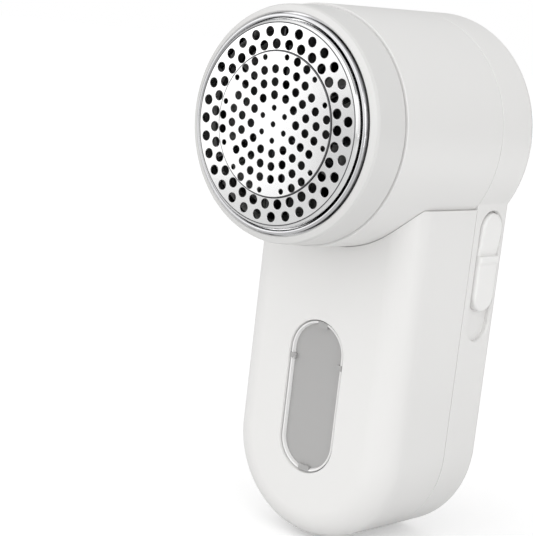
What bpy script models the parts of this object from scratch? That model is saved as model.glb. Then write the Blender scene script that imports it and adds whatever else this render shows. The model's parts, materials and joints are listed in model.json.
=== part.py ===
"""Hand-held fabric shaver: round cutting head over a lint bin, rear cover with battery and slide switch.

The head's axis is the world Y axis and the cover's flat back lies on y = 0, so the origin is the point
where the axis meets the back. The foil faces -Y and the handle hangs down along -Z. Sizes are in metres.
"""
import math

import bmesh
import bpy
from mathutils import Vector

MM = 0.001

# Driving sizes of the case.
BARREL_RADIUS = 28.5 * MM       # barrel at the case seam
SHOULDER_STEP = 4.2 * MM        # how much narrower the handle is than the barrel, on each side
DRAFT = 0.03                    # growth in radius for each unit towards the back
HANDLE_DROP = 76.2 * MM         # head axis down to the centre of the handle's round end
COVER_DEPTH = 14.5 * MM         # back of the case to the case seam
HANDLE_DEPTH = 38.3 * MM        # back of the case to the handle's front face
BARREL_DEPTH = 51.2 * MM        # back of the case to the barrel's front edge
HEAD_DEPTH = 63.3 * MM          # back of the case to the foil
WALL = 2.0 * MM                 # case wall
GAP = 0.3 * MM                  # clearance between neighbouring pieces
FRONT_FILLET = 7.0 * MM         # round edge of the handle's front face
BACK_FILLET = 3.0 * MM          # round edge of the flat back
EDGE_BREAK = 0.4 * MM           # small chamfer on the barrel's front edge
SHOULDER_LIP = 1.1 * MM         # case left under the barrel's side, above the bin

# Inner frame of the front housing.
PLATE = 1.6 * MM                # thickness of the wall between bin and battery
PLATE_BACK = 17.7 * MM          # back of the case to the rear face of that wall
RAIL_LIP = 1.1 * MM             # how far the bin's rails reach in behind the wall
RIM_STEP = 1.4 * MM             # battery rim's distance inside the bin's side walls
RIM_WALL = 1.2 * MM
RIM_OVERLAP = 1.7 * MM          # how far the battery rim enters the rear cover
PILOT_FLOOR = 0.6 * MM          # wall left under a screw's pilot hole
POST_RADIUS = 1.4 * MM          # posts that hold the charging board
CRADLE_HALF = 6.0 * MM          # half the width of the two cradles under the cell
CRADLE_RIB = 1.6 * MM
CRADLE_INSET = 9.0 * MM         # cell's end to the middle of a cradle

# Cutting head.
RING_STEP = 0.45 * MM           # locking ring under the barrel's front edge
RING_TAPER = 0.5 * MM           # ring's outside falls by this much to the front
RING_WALL = 1.2 * MM
RING_LIP = 0.7 * MM             # inward front lip of the ring
NECK_WALL = 1.8 * MM
NECK_LENGTH = 7.8 * MM
LUG_DEPTH = 0.8 * MM
LUG_LENGTH = 1.5 * MM
LUG_ARC = math.radians(14)
LUG_COUNT = 3
RING_TURN = math.radians(20)    # bayonet turn from locked to free
RIM_WIDTH = 1.0 * MM            # chrome rim, seen from the front
FOIL_SHEET = 0.3 * MM
FOIL_EDGE = 0.75 * MM           # rounded edge of the foil, outside its flat face
DISC_RAISE = 0.27 * MM          # step of the foil's middle disc
DISC_INSET = 6.1 * MM           # outer flat ring of the foil, which holds two rows of holes
OUTER_ROW_INSET = 1.85 * MM
ROW_SPACING = 2.8 * MM
OUTER_HOLE_PITCH = 4.1 * MM
OUTER_HOLE = 2.25 * MM
FIRST_HOLE_RING = 3.6 * MM
HOLE_RING_PITCH = 2.82 * MM
INNER_HOLE = 1.9 * MM
SMALL_HOLE = 1.25 * MM
DISC_MARGIN = 1.1 * MM

# Blade disc and drive.
BLADE_COUNT = 6
BLADE_HEIGHT = 3.9 * MM
BLADE_SHEET = 0.4 * MM
BLADE_TRAVEL = 0.8 * MM         # the disc floats this far back against its spring
TIP_CLEARANCE = 1.1 * MM
CARRIER_PLATE_SHARE = 0.58      # radius of the carrier's inner plate, as a share of the blade tips'
PEG_PLACES = (0.45, 0.8)        # where the pegs stand, as shares of the blade tips' radius
CARRIER_PLATE = 1.4 * MM
CARRIER_RIM = 1.4 * MM
CARRIER_BOSS_RADIUS = 5.0 * MM
CARRIER_BOSS_LENGTH = 6.0 * MM
BOSS_FORWARD = 3.4 * MM         # how far the boss stands in front of the carrier's rear face
SOCKET_FLOOR = 1.2 * MM         # boss wall in front of its hexagon socket
SPOKE_WIDTH = 3.2 * MM
HUB_RADIUS = 4.2 * MM
HUB_FLOOR = 1.5 * MM            # hub's shoulder to the end of the shaft's bore
HEX_FLATS = 5.6 * MM
SPRING_LENGTH = 4.9 * MM
SPRING_WIRE = 0.5 * MM
SPRING_TURNS = 3.5
SHAFT_RADIUS = 1.0 * MM

# Motor, of a standard size.
MOTOR_RADIUS = 12.0 * MM
MOTOR_CAN = 24.4 * MM
MOTOR_END_CAP = 2.3 * MM
MOTOR_SCREW_OFFSET = 8.0 * MM
MOTOR_SCREW_HOLE = 1.3 * MM
MOTOR_BOSS = 3.0 * MM
STOP_WALL = 1.6 * MM            # ring in the cover that the motor's end cap meets
TOWER_WALL = 1.6 * MM
TOWER_FRONT = 35.3 * MM         # back of the case to the motor tower's front face

# Battery cell, of a standard size.
CELL_RADIUS = 7.0 * MM
CELL_LENGTH = 43.0 * MM
TAB_SHEET = 0.3 * MM

# Bin, window and outlet.
BIN_BACK = 1.6 * MM
WINDOW_HALF = 7.9 * MM
WINDOW_TOP = 46.2 * MM          # head axis down to the window's top
WINDOW_BELOW = 7.1 * MM         # window's lower end below the centre of the handle's round end
WINDOW_FLANGE = 1.5 * MM
WINDOW_SUNK = 0.35 * MM
OUTLET_HALF = 14.0 * MM

# Slide switch on the +X side of the rear cover.
POCKET_HALF = 4.5 * MM
POCKET_LENGTH = 31.9 * MM
POCKET_DEPTH = 1.2 * MM
KNOB_LENGTH = 24.1 * MM
KNOB_TRAVEL = 7.0 * MM
KNOB_PROUD = 1.1 * MM
KNOB_Y = 7.8 * MM               # back of the case to the middle of the switch
KNOB_CLEARANCE = 0.4 * MM
STEM_HALF = 3.0 * MM
SWITCH_HALF = 3.5 * MM
SWITCH_HEIGHT = 4.0 * MM
SWITCH_INSET = 4.8 * MM         # outside of the handle to the switch's front
ACTUATOR_HALF = 1.2 * MM
PRONG_HALF = 1.2 * MM
SWITCH_RIB = 1.2 * MM

# Case screws and the screws that hold the motor.
CASE_BOSS = 3.0 * MM
SCREW_BOSS = 2.6 * MM
SCREW_HEAD = 2.1 * MM
SCREW_HEAD_DEPTH = 1.8 * MM
SCREW_SHANK = 1.05 * MM
SCREW_SEAT = 6.0 * MM           # back of the case to the seat under the screw head
CASE_TUBE = 9.0 * MM            # back of the case to the end of the cover's screw tubes

# Charging board and socket.
BOARD_SHEET = 1.2 * MM
BOARD_FRONT = 10.4 * MM
LEAD_ROOM = 7.4 * MM            # space for the leads between the cell and the board
SOCKET_HALF = 4.2 * MM
SOCKET_HEIGHT = 2.8 * MM
SOCKET_LENGTH = 6.0 * MM
SOCKET_WALL = 0.4 * MM

# Fineness of round shapes.
ROUND = 48
HOLE_SIDES = 6
SMALL_ROUND = 16
ARC_STEPS = 20
FILLET_STEPS = 4

# Places worked out from the sizes above. Depths are measured forwards, so y is minus the depth.
SEAM_Y = -COVER_DEPTH
HANDLE_HALF = BARREL_RADIUS - SHOULDER_STEP


def barrel_radius(y):
    """Outer radius of the barrel at depth y."""
    return BARREL_RADIUS + DRAFT * (y - SEAM_Y)


def handle_half(y):
    """Half the width of the handle at depth y, which is also the radius of its round end."""
    return HANDLE_HALF + DRAFT * (y - SEAM_Y)


SHOULDER_Z = -(math.sqrt(BARREL_RADIUS ** 2 - HANDLE_HALF ** 2) + SHOULDER_LIP)
PLATE_REAR_Y = -PLATE_BACK
PLATE_FRONT_Y = PLATE_REAR_Y - PLATE
BIN_REAR_Y = SEAM_Y - GAP
BIN_BACK_Y = PLATE_FRONT_Y - GAP
BIN_INNER_Y = BIN_BACK_Y - BIN_BACK
HANDLE_FRONT_Y = -HANDLE_DEPTH
BIN_FRONT_INNER_Y = HANDLE_FRONT_Y + WALL
TRAY_INSET = WALL + GAP + RAIL_LIP + GAP
TRAY_INNER = HANDLE_HALF - TRAY_INSET - RIM_WALL

RING_REAR_Y = -BARREL_DEPTH - GAP
RING_OUTER = barrel_radius(-BARREL_DEPTH) - RING_STEP
RING_BORE = RING_OUTER - RING_TAPER - RING_WALL
NECK_OUTER = RING_BORE - GAP
NECK_INNER = NECK_OUTER - NECK_WALL
NECK_FRONT_Y = -BARREL_DEPTH - NECK_LENGTH
RIM_OUTER = RING_BORE - RING_LIP - GAP
RIM_INNER = RIM_OUTER - RIM_WIDTH
FOIL_OUTER = RIM_INNER - GAP
FOIL_FLAT = FOIL_OUTER - FOIL_EDGE
DISC_RADIUS = FOIL_FLAT - DISC_INSET
FOIL_Y = -HEAD_DEPTH
FLANGE_Y = NECK_FRONT_Y - GAP
RIM_FLANGE_Y = FLANGE_Y - FOIL_SHEET - GAP - 0.4 * MM
LUG_Y = -BARREL_DEPTH - 1.8 * MM

EDGE_Y = FOIL_Y + FOIL_SHEET + GAP
BLADE_TIP = FOIL_OUTER - FOIL_SHEET - TIP_CLEARANCE
BLADE_BASE_Y = EDGE_Y + BLADE_HEIGHT
CARRIER_FRONT_Y = BLADE_BASE_Y + GAP
CARRIER_REAR_Y = CARRIER_FRONT_Y + CARRIER_PLATE
BOSS_REAR_Y = CARRIER_REAR_Y + CARRIER_BOSS_LENGTH - BOSS_FORWARD
BOSS_FRONT_Y = BOSS_REAR_Y - CARRIER_BOSS_LENGTH
HUB_SHOULDER_Y = BOSS_REAR_Y + SPRING_LENGTH + 2 * GAP
TOWER_FRONT_Y = -TOWER_FRONT
TOWER_INNER = MOTOR_RADIUS + GAP
TOWER_OUTER = TOWER_INNER + TOWER_WALL
MOTOR_FRONT_Y = TOWER_FRONT_Y + TOWER_WALL + GAP
CAN_REAR_Y = MOTOR_FRONT_Y + MOTOR_CAN
CAP_REAR_Y = CAN_REAR_Y + 0.5 * GAP + MOTOR_END_CAP
HUB_REAR_Y = TOWER_FRONT_Y - 0.4 * MM

CELL_X = -(TRAY_INNER - CELL_RADIUS - 0.8 * MM)
CELL_Y = -(PLATE_BACK + WALL) / 2
CELL_TOP_Z = -(TOWER_OUTER + 3.9 * MM)
CELL_BOTTOM_Z = CELL_TOP_Z - CELL_LENGTH

POCKET_TOP_Z = SHOULDER_Z - 0.5 * MM
POCKET_Z = POCKET_TOP_Z - POCKET_LENGTH / 2
KNOB_Z = POCKET_TOP_Z - KNOB_CLEARANCE - KNOB_LENGTH / 2
KNOB_HALF = POCKET_HALF - KNOB_CLEARANCE
SIDE_X = handle_half(-KNOB_Y)
POCKET_FLOOR_X = SIDE_X - POCKET_DEPTH
SWITCH_X = SIDE_X - SWITCH_INSET
SWITCH_Z = KNOB_Z - KNOB_TRAVEL / 2
SWITCH_LENGTH = KNOB_TRAVEL + 8.0 * MM

UPPER_BOSS = (TOWER_OUTER + BARREL_RADIUS - WALL) / 2 * math.sqrt(0.5)
LOWER_BOSS_Z = -HANDLE_DROP - 2.0 * MM
LOWER_BOSS_X = math.sqrt((TRAY_INNER - SCREW_BOSS - 0.6 * MM) ** 2 - (HANDLE_DROP + LOWER_BOSS_Z) ** 2)
SCREW_PLACES = [(UPPER_BOSS, UPPER_BOSS), (-UPPER_BOSS, UPPER_BOSS),
                (LOWER_BOSS_X, LOWER_BOSS_Z), (-LOWER_BOSS_X, LOWER_BOSS_Z)]
BOARD_HALF = LOWER_BOSS_X - SCREW_BOSS - 0.8 * MM
BOARD_TOP_Z = CELL_BOTTOM_Z - LEAD_ROOM
BOARD_BOTTOM_Z = -HANDLE_DROP - math.sqrt((TRAY_INNER - GAP) ** 2 - BOARD_HALF ** 2)


# Scene and materials.
for old in list(bpy.data.objects):
    bpy.data.objects.remove(old, do_unlink=True)


def material(name, colour, roughness, metallic=0.0, alpha=1.0):
    """A Principled material with the part's colour and finish."""
    made = bpy.data.materials.new(name)
    made.use_nodes = True
    shader = made.node_tree.nodes["Principled BSDF"]
    shader.inputs["Base Color"].default_value = (*colour, 1.0)
    shader.inputs["Roughness"].default_value = roughness
    shader.inputs["Metallic"].default_value = metallic
    shader.inputs["Alpha"].default_value = alpha
    return made


WHITE = material("white_plastic", (0.80, 0.79, 0.78), 0.35)
PALE = material("white_knob_plastic", (0.84, 0.83, 0.82), 0.4)
CLEAR = material("clear_plastic", (0.78, 0.78, 0.78), 0.15, alpha=0.4)
STEEL = material("polished_steel", (0.80, 0.80, 0.80), 0.18, 1.0)
CHROME = material("chrome", (0.75, 0.75, 0.76), 0.08, 1.0)
CAN = material("zinc_plate", (0.62, 0.62, 0.60), 0.35, 1.0)
BRASS = material("brass", (0.72, 0.53, 0.25), 0.35, 1.0)
BLACK = material("black_plastic", (0.04, 0.04, 0.04), 0.45)
BLUE = material("cell_wrap", (0.05, 0.16, 0.42), 0.4)
GREEN = material("board_green", (0.03, 0.22, 0.10), 0.45)
RED_LEAD = material("red_lead", (0.55, 0.03, 0.03), 0.5)
BLACK_LEAD = material("black_lead", (0.02, 0.02, 0.02), 0.5)
NICKEL = material("nickel", (0.66, 0.65, 0.60), 0.3, 1.0)


# Tools that make solids.
def add_object(name, mesh, finish=None, parent=None, place=(0, 0, 0)):
    """Put a mesh into the scene as a named object."""
    made = bpy.data.objects.new(name, mesh)
    bpy.context.scene.collection.objects.link(made)
    made.location = place
    made.parent = parent
    if finish is not None and not mesh.materials:
        mesh.materials.append(finish)
    return made


def close_mesh(bm, name, smooth_angle=35):
    """Turn a bmesh into a mesh with its faces pointing out, round surfaces shaded smooth."""
    bmesh.ops.remove_doubles(bm, verts=bm.verts, dist=1e-7)
    bmesh.ops.recalc_face_normals(bm, faces=bm.faces)
    mesh = bpy.data.meshes.new(name)
    bm.to_mesh(mesh)
    bm.free()
    mesh.shade_smooth()
    mesh.set_sharp_from_angle(angle=math.radians(smooth_angle))
    return mesh


def loft(name, loops):
    """A closed solid through outlines with equal numbers of points, capped at both ends."""
    bm = bmesh.new()
    rings = [[bm.verts.new(point) for point in loop] for loop in loops]
    count = len(rings[0])
    for near, far in zip(rings, rings[1:]):
        for i in range(count):
            j = (i + 1) % count
            bm.faces.new((near[i], near[j], far[j], far[i]))
    bm.faces.new(rings[0][::-1])
    bm.faces.new(rings[-1])
    return close_mesh(bm, name)


def turned(name, profile, sides=ROUND):
    """A closed profile of (radius, y) points, spun about the Y axis."""
    bm = bmesh.new()
    points = [bm.verts.new((radius, y, 0)) for radius, y in profile]
    edges = [bm.edges.new((a, b)) for a, b in zip(points, points[1:])]
    if profile[0][0] > 0 or profile[-1][0] > 0:
        edges.append(bm.edges.new((points[-1], points[0])))
    bmesh.ops.spin(bm, geom=points + edges, cent=(0, 0, 0), axis=(0, 1, 0),
                   angle=math.tau, steps=sides, use_duplicate=False)
    return close_mesh(bm, name)


def circle(centre, radius, sides, turn=0.0):
    """Points of a circle in a plane."""
    return [(centre[0] + radius * math.cos(turn + math.tau * i / sides),
             centre[1] + radius * math.sin(turn + math.tau * i / sides)) for i in range(sides)]


def slot(centre, half, length, steps=8):
    """Outline of a slot that stands upright: two half circles of radius half, length overall."""
    reach = length / 2 - half
    upper = [(centre[0] + half * math.cos(math.pi * i / steps),
              centre[1] + reach + half * math.sin(math.pi * i / steps)) for i in range(steps + 1)]
    lower = [(2 * centre[0] - x, 2 * centre[1] - z) for x, z in upper]
    return upper + lower


def along_x(name, outline, low, high):
    """A prism with a (y, z) outline."""
    return loft(name, [[(x, y, z) for y, z in outline] for x in (low, high)])


def along_y(name, outline, low, high):
    """A prism with an (x, z) outline."""
    return loft(name, [[(x, y, z) for x, z in outline] for y in (low, high)])


def along_z(name, outline, low, high):
    """A prism with an (x, y) outline."""
    return loft(name, [[(x, y, z) for x, y in outline] for z in (low, high)])


def block(name, low, high):
    """A box between two corners."""
    outline = [(low[0], low[1]), (high[0], low[1]), (high[0], high[1]), (low[0], high[1])]
    return along_z(name, outline, low[2], high[2])


def combine(target, mesh, operation, parent=None):
    """Cut a mesh out of an object, or join it on, with a Boolean that stays on the object."""
    tool = add_object(f"{target.name}_tool_{len(target.modifiers):02d}", mesh, parent=parent)
    tool.hide_render = True
    tool.display_type = "WIRE"
    change = target.modifiers.new(tool.name, "BOOLEAN")
    change.operation = operation
    change.solver = "EXACT"
    change.object = tool


def cut(target, mesh):
    combine(target, mesh, "DIFFERENCE")


def fuse(target, mesh):
    combine(target, mesh, "UNION")


# Outlines of the case.
def keyhole(y, inset):
    """Section of the case at depth y: the barrel's circle with the handle hanging from it."""
    radius = barrel_radius(y) - inset
    half = handle_half(y) - inset
    start = -math.asin(math.sqrt(radius ** 2 - half ** 2) / radius)
    sweep = math.pi - 2 * start
    steps = ROUND - ARC_STEPS // 2
    points = [(radius * math.cos(start + sweep * i / steps), y, radius * math.sin(start + sweep * i / steps))
              for i in range(steps + 1)]
    return points + round_end(y, half)


def round_end(y, half):
    """The handle's lower end, from the -X side round to the +X side."""
    angles = [math.pi + math.pi * i / ARC_STEPS for i in range(ARC_STEPS + 1)]
    return [(half * math.cos(a), y, -HANDLE_DROP + half * math.sin(a)) for a in angles]


def handle(y, inset, top=0.0):
    """Section of the handle alone, flat at the given height."""
    half = handle_half(y) - inset
    return [(half, y, top), (-half, y, top)] + round_end(y, half)


def front_rounded(rear_y, front_y, inset, fillet, top=0.0):
    """Handle sections from a rear plane to a front face with a round edge."""
    loops = [handle(rear_y, inset, top)]
    for i in range(FILLET_STEPS + 1):
        angle = math.pi / 2 * i / FILLET_STEPS
        loops.append(handle(front_y + fillet * (1 - math.sin(angle)),
                            inset + fillet * (1 - math.cos(angle)), top))
    return loops


# Case.
def make_front_housing():
    """Barrel with the ring's neck, motor tower, and the wall between bin and battery."""
    front_inner_y = -BARREL_DEPTH + WALL
    rib_y = PLATE_REAR_Y - PLATE / 2
    seam_y = SEAM_Y - GAP / 2
    profile = [
        (NECK_INNER, NECK_FRONT_Y), (NECK_OUTER, NECK_FRONT_Y), (NECK_OUTER, -BARREL_DEPTH),
        (barrel_radius(-BARREL_DEPTH) - EDGE_BREAK, -BARREL_DEPTH),
        (barrel_radius(-BARREL_DEPTH), -BARREL_DEPTH + EDGE_BREAK),
        (barrel_radius(seam_y), seam_y), (barrel_radius(SEAM_Y) - WALL, seam_y),
        (barrel_radius(front_inner_y) - WALL, front_inner_y), (NECK_INNER, front_inner_y),
    ]
    housing = add_object("front_housing", turned("front_housing", profile), WHITE)
    fuse(housing, shoulder_mesh())
    fuse(housing, loft("wall", [keyhole(PLATE_FRONT_Y, WALL + GAP), keyhole(PLATE_REAR_Y, WALL + GAP)]))
    fuse(housing, along_y("wall_disc", circle((0, 0), BARREL_RADIUS - WALL / 2, ROUND),
                          PLATE_FRONT_Y, PLATE_REAR_Y))
    fuse(housing, battery_rim_mesh())
    fuse(housing, turned("tower", [(0, TOWER_FRONT_Y), (TOWER_OUTER, TOWER_FRONT_Y),
                                   (TOWER_OUTER, rib_y), (0, rib_y)]))
    for x, z in SCREW_PLACES:
        fuse(housing, along_y("boss", circle((x, z), SCREW_BOSS, SMALL_ROUND), rib_y, -CASE_TUBE - GAP))
    for x in (-BOARD_HALF + 2 * MM, BOARD_HALF - 2 * MM):
        fuse(housing, along_y("post", circle((x, -HANDLE_DROP - 6 * MM), POST_RADIUS, 8),
                              rib_y, -BOARD_FRONT - GAP))
    for z in (CELL_TOP_Z - CRADLE_INSET, CELL_BOTTOM_Z + CRADLE_INSET):
        fuse(housing, block("cradle", (CELL_X - CRADLE_HALF, rib_y, z - CRADLE_RIB / 2),
                            (CELL_X + CRADLE_HALF, CELL_Y - 1 * MM, z + CRADLE_RIB / 2)))
    cut(housing, along_z("cell_room", circle((CELL_X, CELL_Y), CELL_RADIUS + GAP, 32),
                         CELL_BOTTOM_Z - GAP, CELL_TOP_Z + GAP))
    room_y = TOWER_FRONT_Y + TOWER_WALL
    cut(housing, turned("motor_room", [(0, room_y), (TOWER_INNER, room_y), (TOWER_INNER, SEAM_Y),
                                       (0, SEAM_Y)]))
    cut(housing, along_y("shaft_hole", circle((0, 0), MOTOR_BOSS + GAP, SMALL_ROUND),
                         TOWER_FRONT_Y - 1 * MM, room_y + 1 * MM))
    for side in (-1, 1):
        cut(housing, along_y("motor_screw_hole", circle((side * MOTOR_SCREW_OFFSET, 0), MOTOR_SCREW_HOLE, 12),
                             TOWER_FRONT_Y - 1 * MM, room_y + 1 * MM))
    for x, z in SCREW_PLACES:
        cut(housing, along_y("pilot", circle((x, z), SCREW_SHANK + GAP, 12), PLATE_REAR_Y + PILOT_FLOOR, 0))
    cut(housing, block("outlet", (-OUTLET_HALF, BIN_FRONT_INNER_Y + 1 * MM, -BARREL_RADIUS - 2 * MM),
                       (OUTLET_HALF, BIN_INNER_Y - 0.8 * MM, -TOWER_OUTER - 3 * MM)))
    for i in range(LUG_COUNT):
        for mesh in bayonet_channel_meshes(math.pi / 2 + math.tau * i / LUG_COUNT):
            cut(housing, mesh)


def shoulder_mesh():
    """The strip of case between the barrel's side and the bin's top edge."""
    bm = bmesh.new()
    bm.from_mesh(loft("shoulder", front_rounded(SEAM_Y - GAP / 2, HANDLE_FRONT_Y, 0, FRONT_FILLET,
                                                top=-5 * MM)))
    result = bmesh.ops.bisect_plane(bm, geom=bm.verts[:] + bm.edges[:] + bm.faces[:], dist=1e-7,
                                    plane_co=(0, 0, SHOULDER_Z), plane_no=(0, 0, -1), clear_outer=True)
    rim = [e for e in result["geom_cut"] if isinstance(e, bmesh.types.BMEdge)]
    bmesh.ops.contextual_create(bm, geom=rim)
    return close_mesh(bm, "shoulder_solid")


def battery_rim_mesh():
    """Rim on the wall's rear face that closes the battery room against the rear cover."""
    rear_y = SEAM_Y + RIM_OVERLAP
    start_y = PLATE_REAR_Y - PLATE / 2
    outer = [keyhole(start_y, TRAY_INSET), keyhole(rear_y, TRAY_INSET)]
    inner = [keyhole(rear_y, TRAY_INSET + RIM_WALL), keyhole(start_y, TRAY_INSET + RIM_WALL)]
    bm = bmesh.new()
    rings = [[bm.verts.new(point) for point in loop] for loop in outer + inner]
    rings.append(rings[0])
    for near, far in zip(rings, rings[1:]):
        for i in range(len(near)):
            j = (i + 1) % len(near)
            bm.faces.new((near[i], near[j], far[j], far[i]))
    return close_mesh(bm, "battery_rim")


def sector(y_low, y_high, r_low, r_high, start, sweep, steps=4):
    """A block bent round the head axis."""
    angles = [start + sweep * i / steps for i in range(steps + 1)]
    outline = [(r_high * math.cos(a), r_high * math.sin(a)) for a in angles]
    outline += [(r_low * math.cos(a), r_low * math.sin(a)) for a in reversed(angles)]
    return along_y("sector", outline, y_low, y_high)


def bayonet_channel_meshes(angle):
    """L-shaped channel in the neck: the way in from the front, then the way round to the lock."""
    play = GAP / NECK_OUTER
    floor = NECK_OUTER - LUG_DEPTH - GAP
    half = LUG_ARC / 2 + play
    rear_y = LUG_Y + GAP
    front_y = LUG_Y - LUG_LENGTH - GAP
    entry = angle + RING_TURN
    way_in = sector(NECK_FRONT_Y - 1 * MM, rear_y, floor, NECK_OUTER + 1 * MM, entry - half, 2 * half)
    way_round = sector(front_y, rear_y, floor, NECK_OUTER + 1 * MM, angle - half, 2 * half + RING_TURN, 8)
    return way_in, way_round


def make_rear_cover():
    """Keyhole-shaped tray with the flat back, screw tubes, motor stop and switch pocket."""
    loops = [keyhole(SEAM_Y + GAP / 2, WALL), keyhole(SEAM_Y + GAP / 2, 0)]
    for i in range(FILLET_STEPS + 1):
        angle = math.pi / 2 * i / FILLET_STEPS
        loops.append(keyhole(-BACK_FILLET * (1 - math.sin(angle)), BACK_FILLET * (1 - math.cos(angle))))
    cover_loops = [keyhole(-WALL, BACK_FILLET), keyhole(-BACK_FILLET, WALL)] + loops
    cover = add_object("rear_cover", loft("rear_cover", cover_loops), WHITE)
    for x, z in SCREW_PLACES:
        fuse(cover, along_y("tube", circle((x, z), CASE_BOSS, SMALL_ROUND), -CASE_TUBE, -WALL / 2))
    stop_outer = MOTOR_RADIUS - 1 * MM
    stop_inner = stop_outer - STOP_WALL
    stop_y = CAP_REAR_Y + GAP
    fuse(cover, turned("motor_stop", [(stop_inner, stop_y), (stop_outer, stop_y), (stop_outer, -WALL / 2),
                                      (stop_inner, -WALL / 2)], 32))
    rib_low_x = SWITCH_X - SWITCH_HEIGHT
    for z in (SWITCH_Z - SWITCH_LENGTH / 2 - GAP - SWITCH_RIB, SWITCH_Z + SWITCH_LENGTH / 2 + GAP):
        fuse(cover, block("switch_rib", (rib_low_x, -KNOB_Y - SWITCH_HALF, z),
                          (SIDE_X - WALL / 2, -WALL / 2, z + SWITCH_RIB)))
    lead_way = 6.5 * MM
    cut(cover, block("lead_way", (-lead_way, CAP_REAR_Y - 1 * MM, -stop_outer - 1 * MM),
                     (lead_way, -WALL, -4 * MM)))
    for x, z in SCREW_PLACES:
        cut(cover, along_y("seat", circle((x, z), SCREW_HEAD + 0.4 * MM, SMALL_ROUND), -SCREW_SEAT, 1 * MM))
        cut(cover, along_y("shank_way", circle((x, z), SCREW_SHANK + GAP, 12), -CASE_TUBE - 1 * MM, -1 * MM))
    cut(cover, along_x("pocket", slot((-KNOB_Y, POCKET_Z), POCKET_HALF, POCKET_LENGTH), POCKET_FLOOR_X,
                       SIDE_X + 3 * MM))
    stem_low = KNOB_Z - KNOB_TRAVEL - STEM_HALF - GAP
    stem_high = KNOB_Z + STEM_HALF + GAP
    stem_way = PRONG_HALF + 0.4 * MM
    cut(cover, block("stem_way", (SIDE_X - WALL - 2 * MM, -KNOB_Y - stem_way, stem_low),
                     (SIDE_X + 1 * MM, -KNOB_Y + stem_way, stem_high)))
    socket_y = -BOARD_FRONT + BOARD_SHEET + GAP + SOCKET_HEIGHT / 2
    cut(cover, block("socket_way", (-SOCKET_HALF - GAP, socket_y - SOCKET_HEIGHT / 2 - GAP,
                                    -HANDLE_DROP - handle_half(0) - 2 * MM),
                     (SOCKET_HALF + GAP, socket_y + SOCKET_HEIGHT / 2 + GAP, -HANDLE_DROP - TRAY_INNER)))


def make_lint_bin():
    """Front of the handle: a scoop that slides down on two rails, open at the top."""
    outside = loft("lint_bin", front_rounded(BIN_REAR_Y, HANDLE_FRONT_Y, 0, FRONT_FILLET))
    lint_bin = add_object("lint_bin", outside, WHITE)
    barrel_clear = [(0, 1 * MM), (0, -BARREL_DEPTH - 1 * MM)]
    barrel_clear += [(barrel_radius(y) + GAP, y) for _, y in reversed(barrel_clear)]
    cut(lint_bin, turned("barrel_room", barrel_clear))
    cut(lint_bin, block("top_room", (-2 * HANDLE_HALF, -2 * HANDLE_DEPTH, SHOULDER_Z - GAP),
                        (2 * HANDLE_HALF, 1 * MM, HANDLE_DROP)))
    inner_fillet = FRONT_FILLET - WALL
    cut(lint_bin, loft("lint_room", front_rounded(BIN_INNER_Y, BIN_FRONT_INNER_Y, WALL, inner_fillet)))
    cut(lint_bin, loft("rear_room", [handle(BIN_BACK_Y, WALL), handle(0, WALL)]))
    rail_top = SHOULDER_Z - 4 * MM
    rail_inner = HANDLE_HALF - WALL - GAP - RAIL_LIP + 0.1 * MM
    rail_outer = HANDLE_HALF - WALL / 2
    for side in (-1, 1):
        low, high = sorted((side * rail_inner, side * rail_outer))
        fuse(lint_bin, block("rail", (low, PLATE_REAR_Y + GAP, -HANDLE_DROP + 2 * MM),
                             (high, BIN_REAR_Y, rail_top)))
    cut(lint_bin, along_y("window_way", slot((0, window_z()), WINDOW_HALF, window_length()),
                          HANDLE_FRONT_Y - 1 * MM, BIN_FRONT_INNER_Y + 1 * MM))


def window_length():
    return HANDLE_DROP + WINDOW_BELOW - WINDOW_TOP


def window_z():
    return -(WINDOW_TOP + window_length() / 2)


def make_bin_window():
    """Clear insert: a plug that fills the opening and a flange behind the bin's front wall."""
    centre = (0, window_z())
    plug_half = WINDOW_HALF - GAP
    flange_half = WINDOW_HALF + WINDOW_FLANGE
    flange_y = BIN_FRONT_INNER_Y + GAP
    sections = [(plug_half, window_length() - 2 * GAP, HANDLE_FRONT_Y + WINDOW_SUNK),
                (plug_half, window_length() - 2 * GAP, flange_y),
                (flange_half, window_length() + 2 * WINDOW_FLANGE, flange_y),
                (flange_half, window_length() + 2 * WINDOW_FLANGE, flange_y + 0.8 * MM)]
    loops = [[(x, y, z) for x, z in slot(centre, half, length)] for half, length, y in sections]
    add_object("bin_window", loft("bin_window", loops), CLEAR)


# Cutting head.
def make_locking_ring():
    """White ring with three inward lugs that turns on the neck and holds the foil."""
    front_y = FLANGE_Y - 2.1 * MM
    lip_rear_y = RIM_FLANGE_Y - GAP
    profile = [
        (RING_BORE, RING_REAR_Y), (RING_OUTER - 0.3 * MM, RING_REAR_Y), (RING_OUTER, RING_REAR_Y - 0.3 * MM),
        (RING_OUTER - RING_TAPER, front_y + 1.5 * MM),
        (RING_OUTER - RING_TAPER - 0.25 * MM, front_y + 0.8 * MM),
        (RING_BORE - RING_LIP + 0.3 * MM, front_y), (RING_BORE - RING_LIP, front_y + 0.3 * MM),
        (RING_BORE - RING_LIP, lip_rear_y), (RING_BORE, lip_rear_y),
    ]
    ring = add_object("locking_ring", turned("locking_ring", profile), WHITE)
    for i in range(LUG_COUNT):
        start = math.pi / 2 + math.tau * i / LUG_COUNT - LUG_ARC / 2
        fuse(ring, sector(LUG_Y - LUG_LENGTH, LUG_Y, NECK_OUTER - LUG_DEPTH, RING_BORE + 0.5 * MM,
                          start, LUG_ARC))


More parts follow.
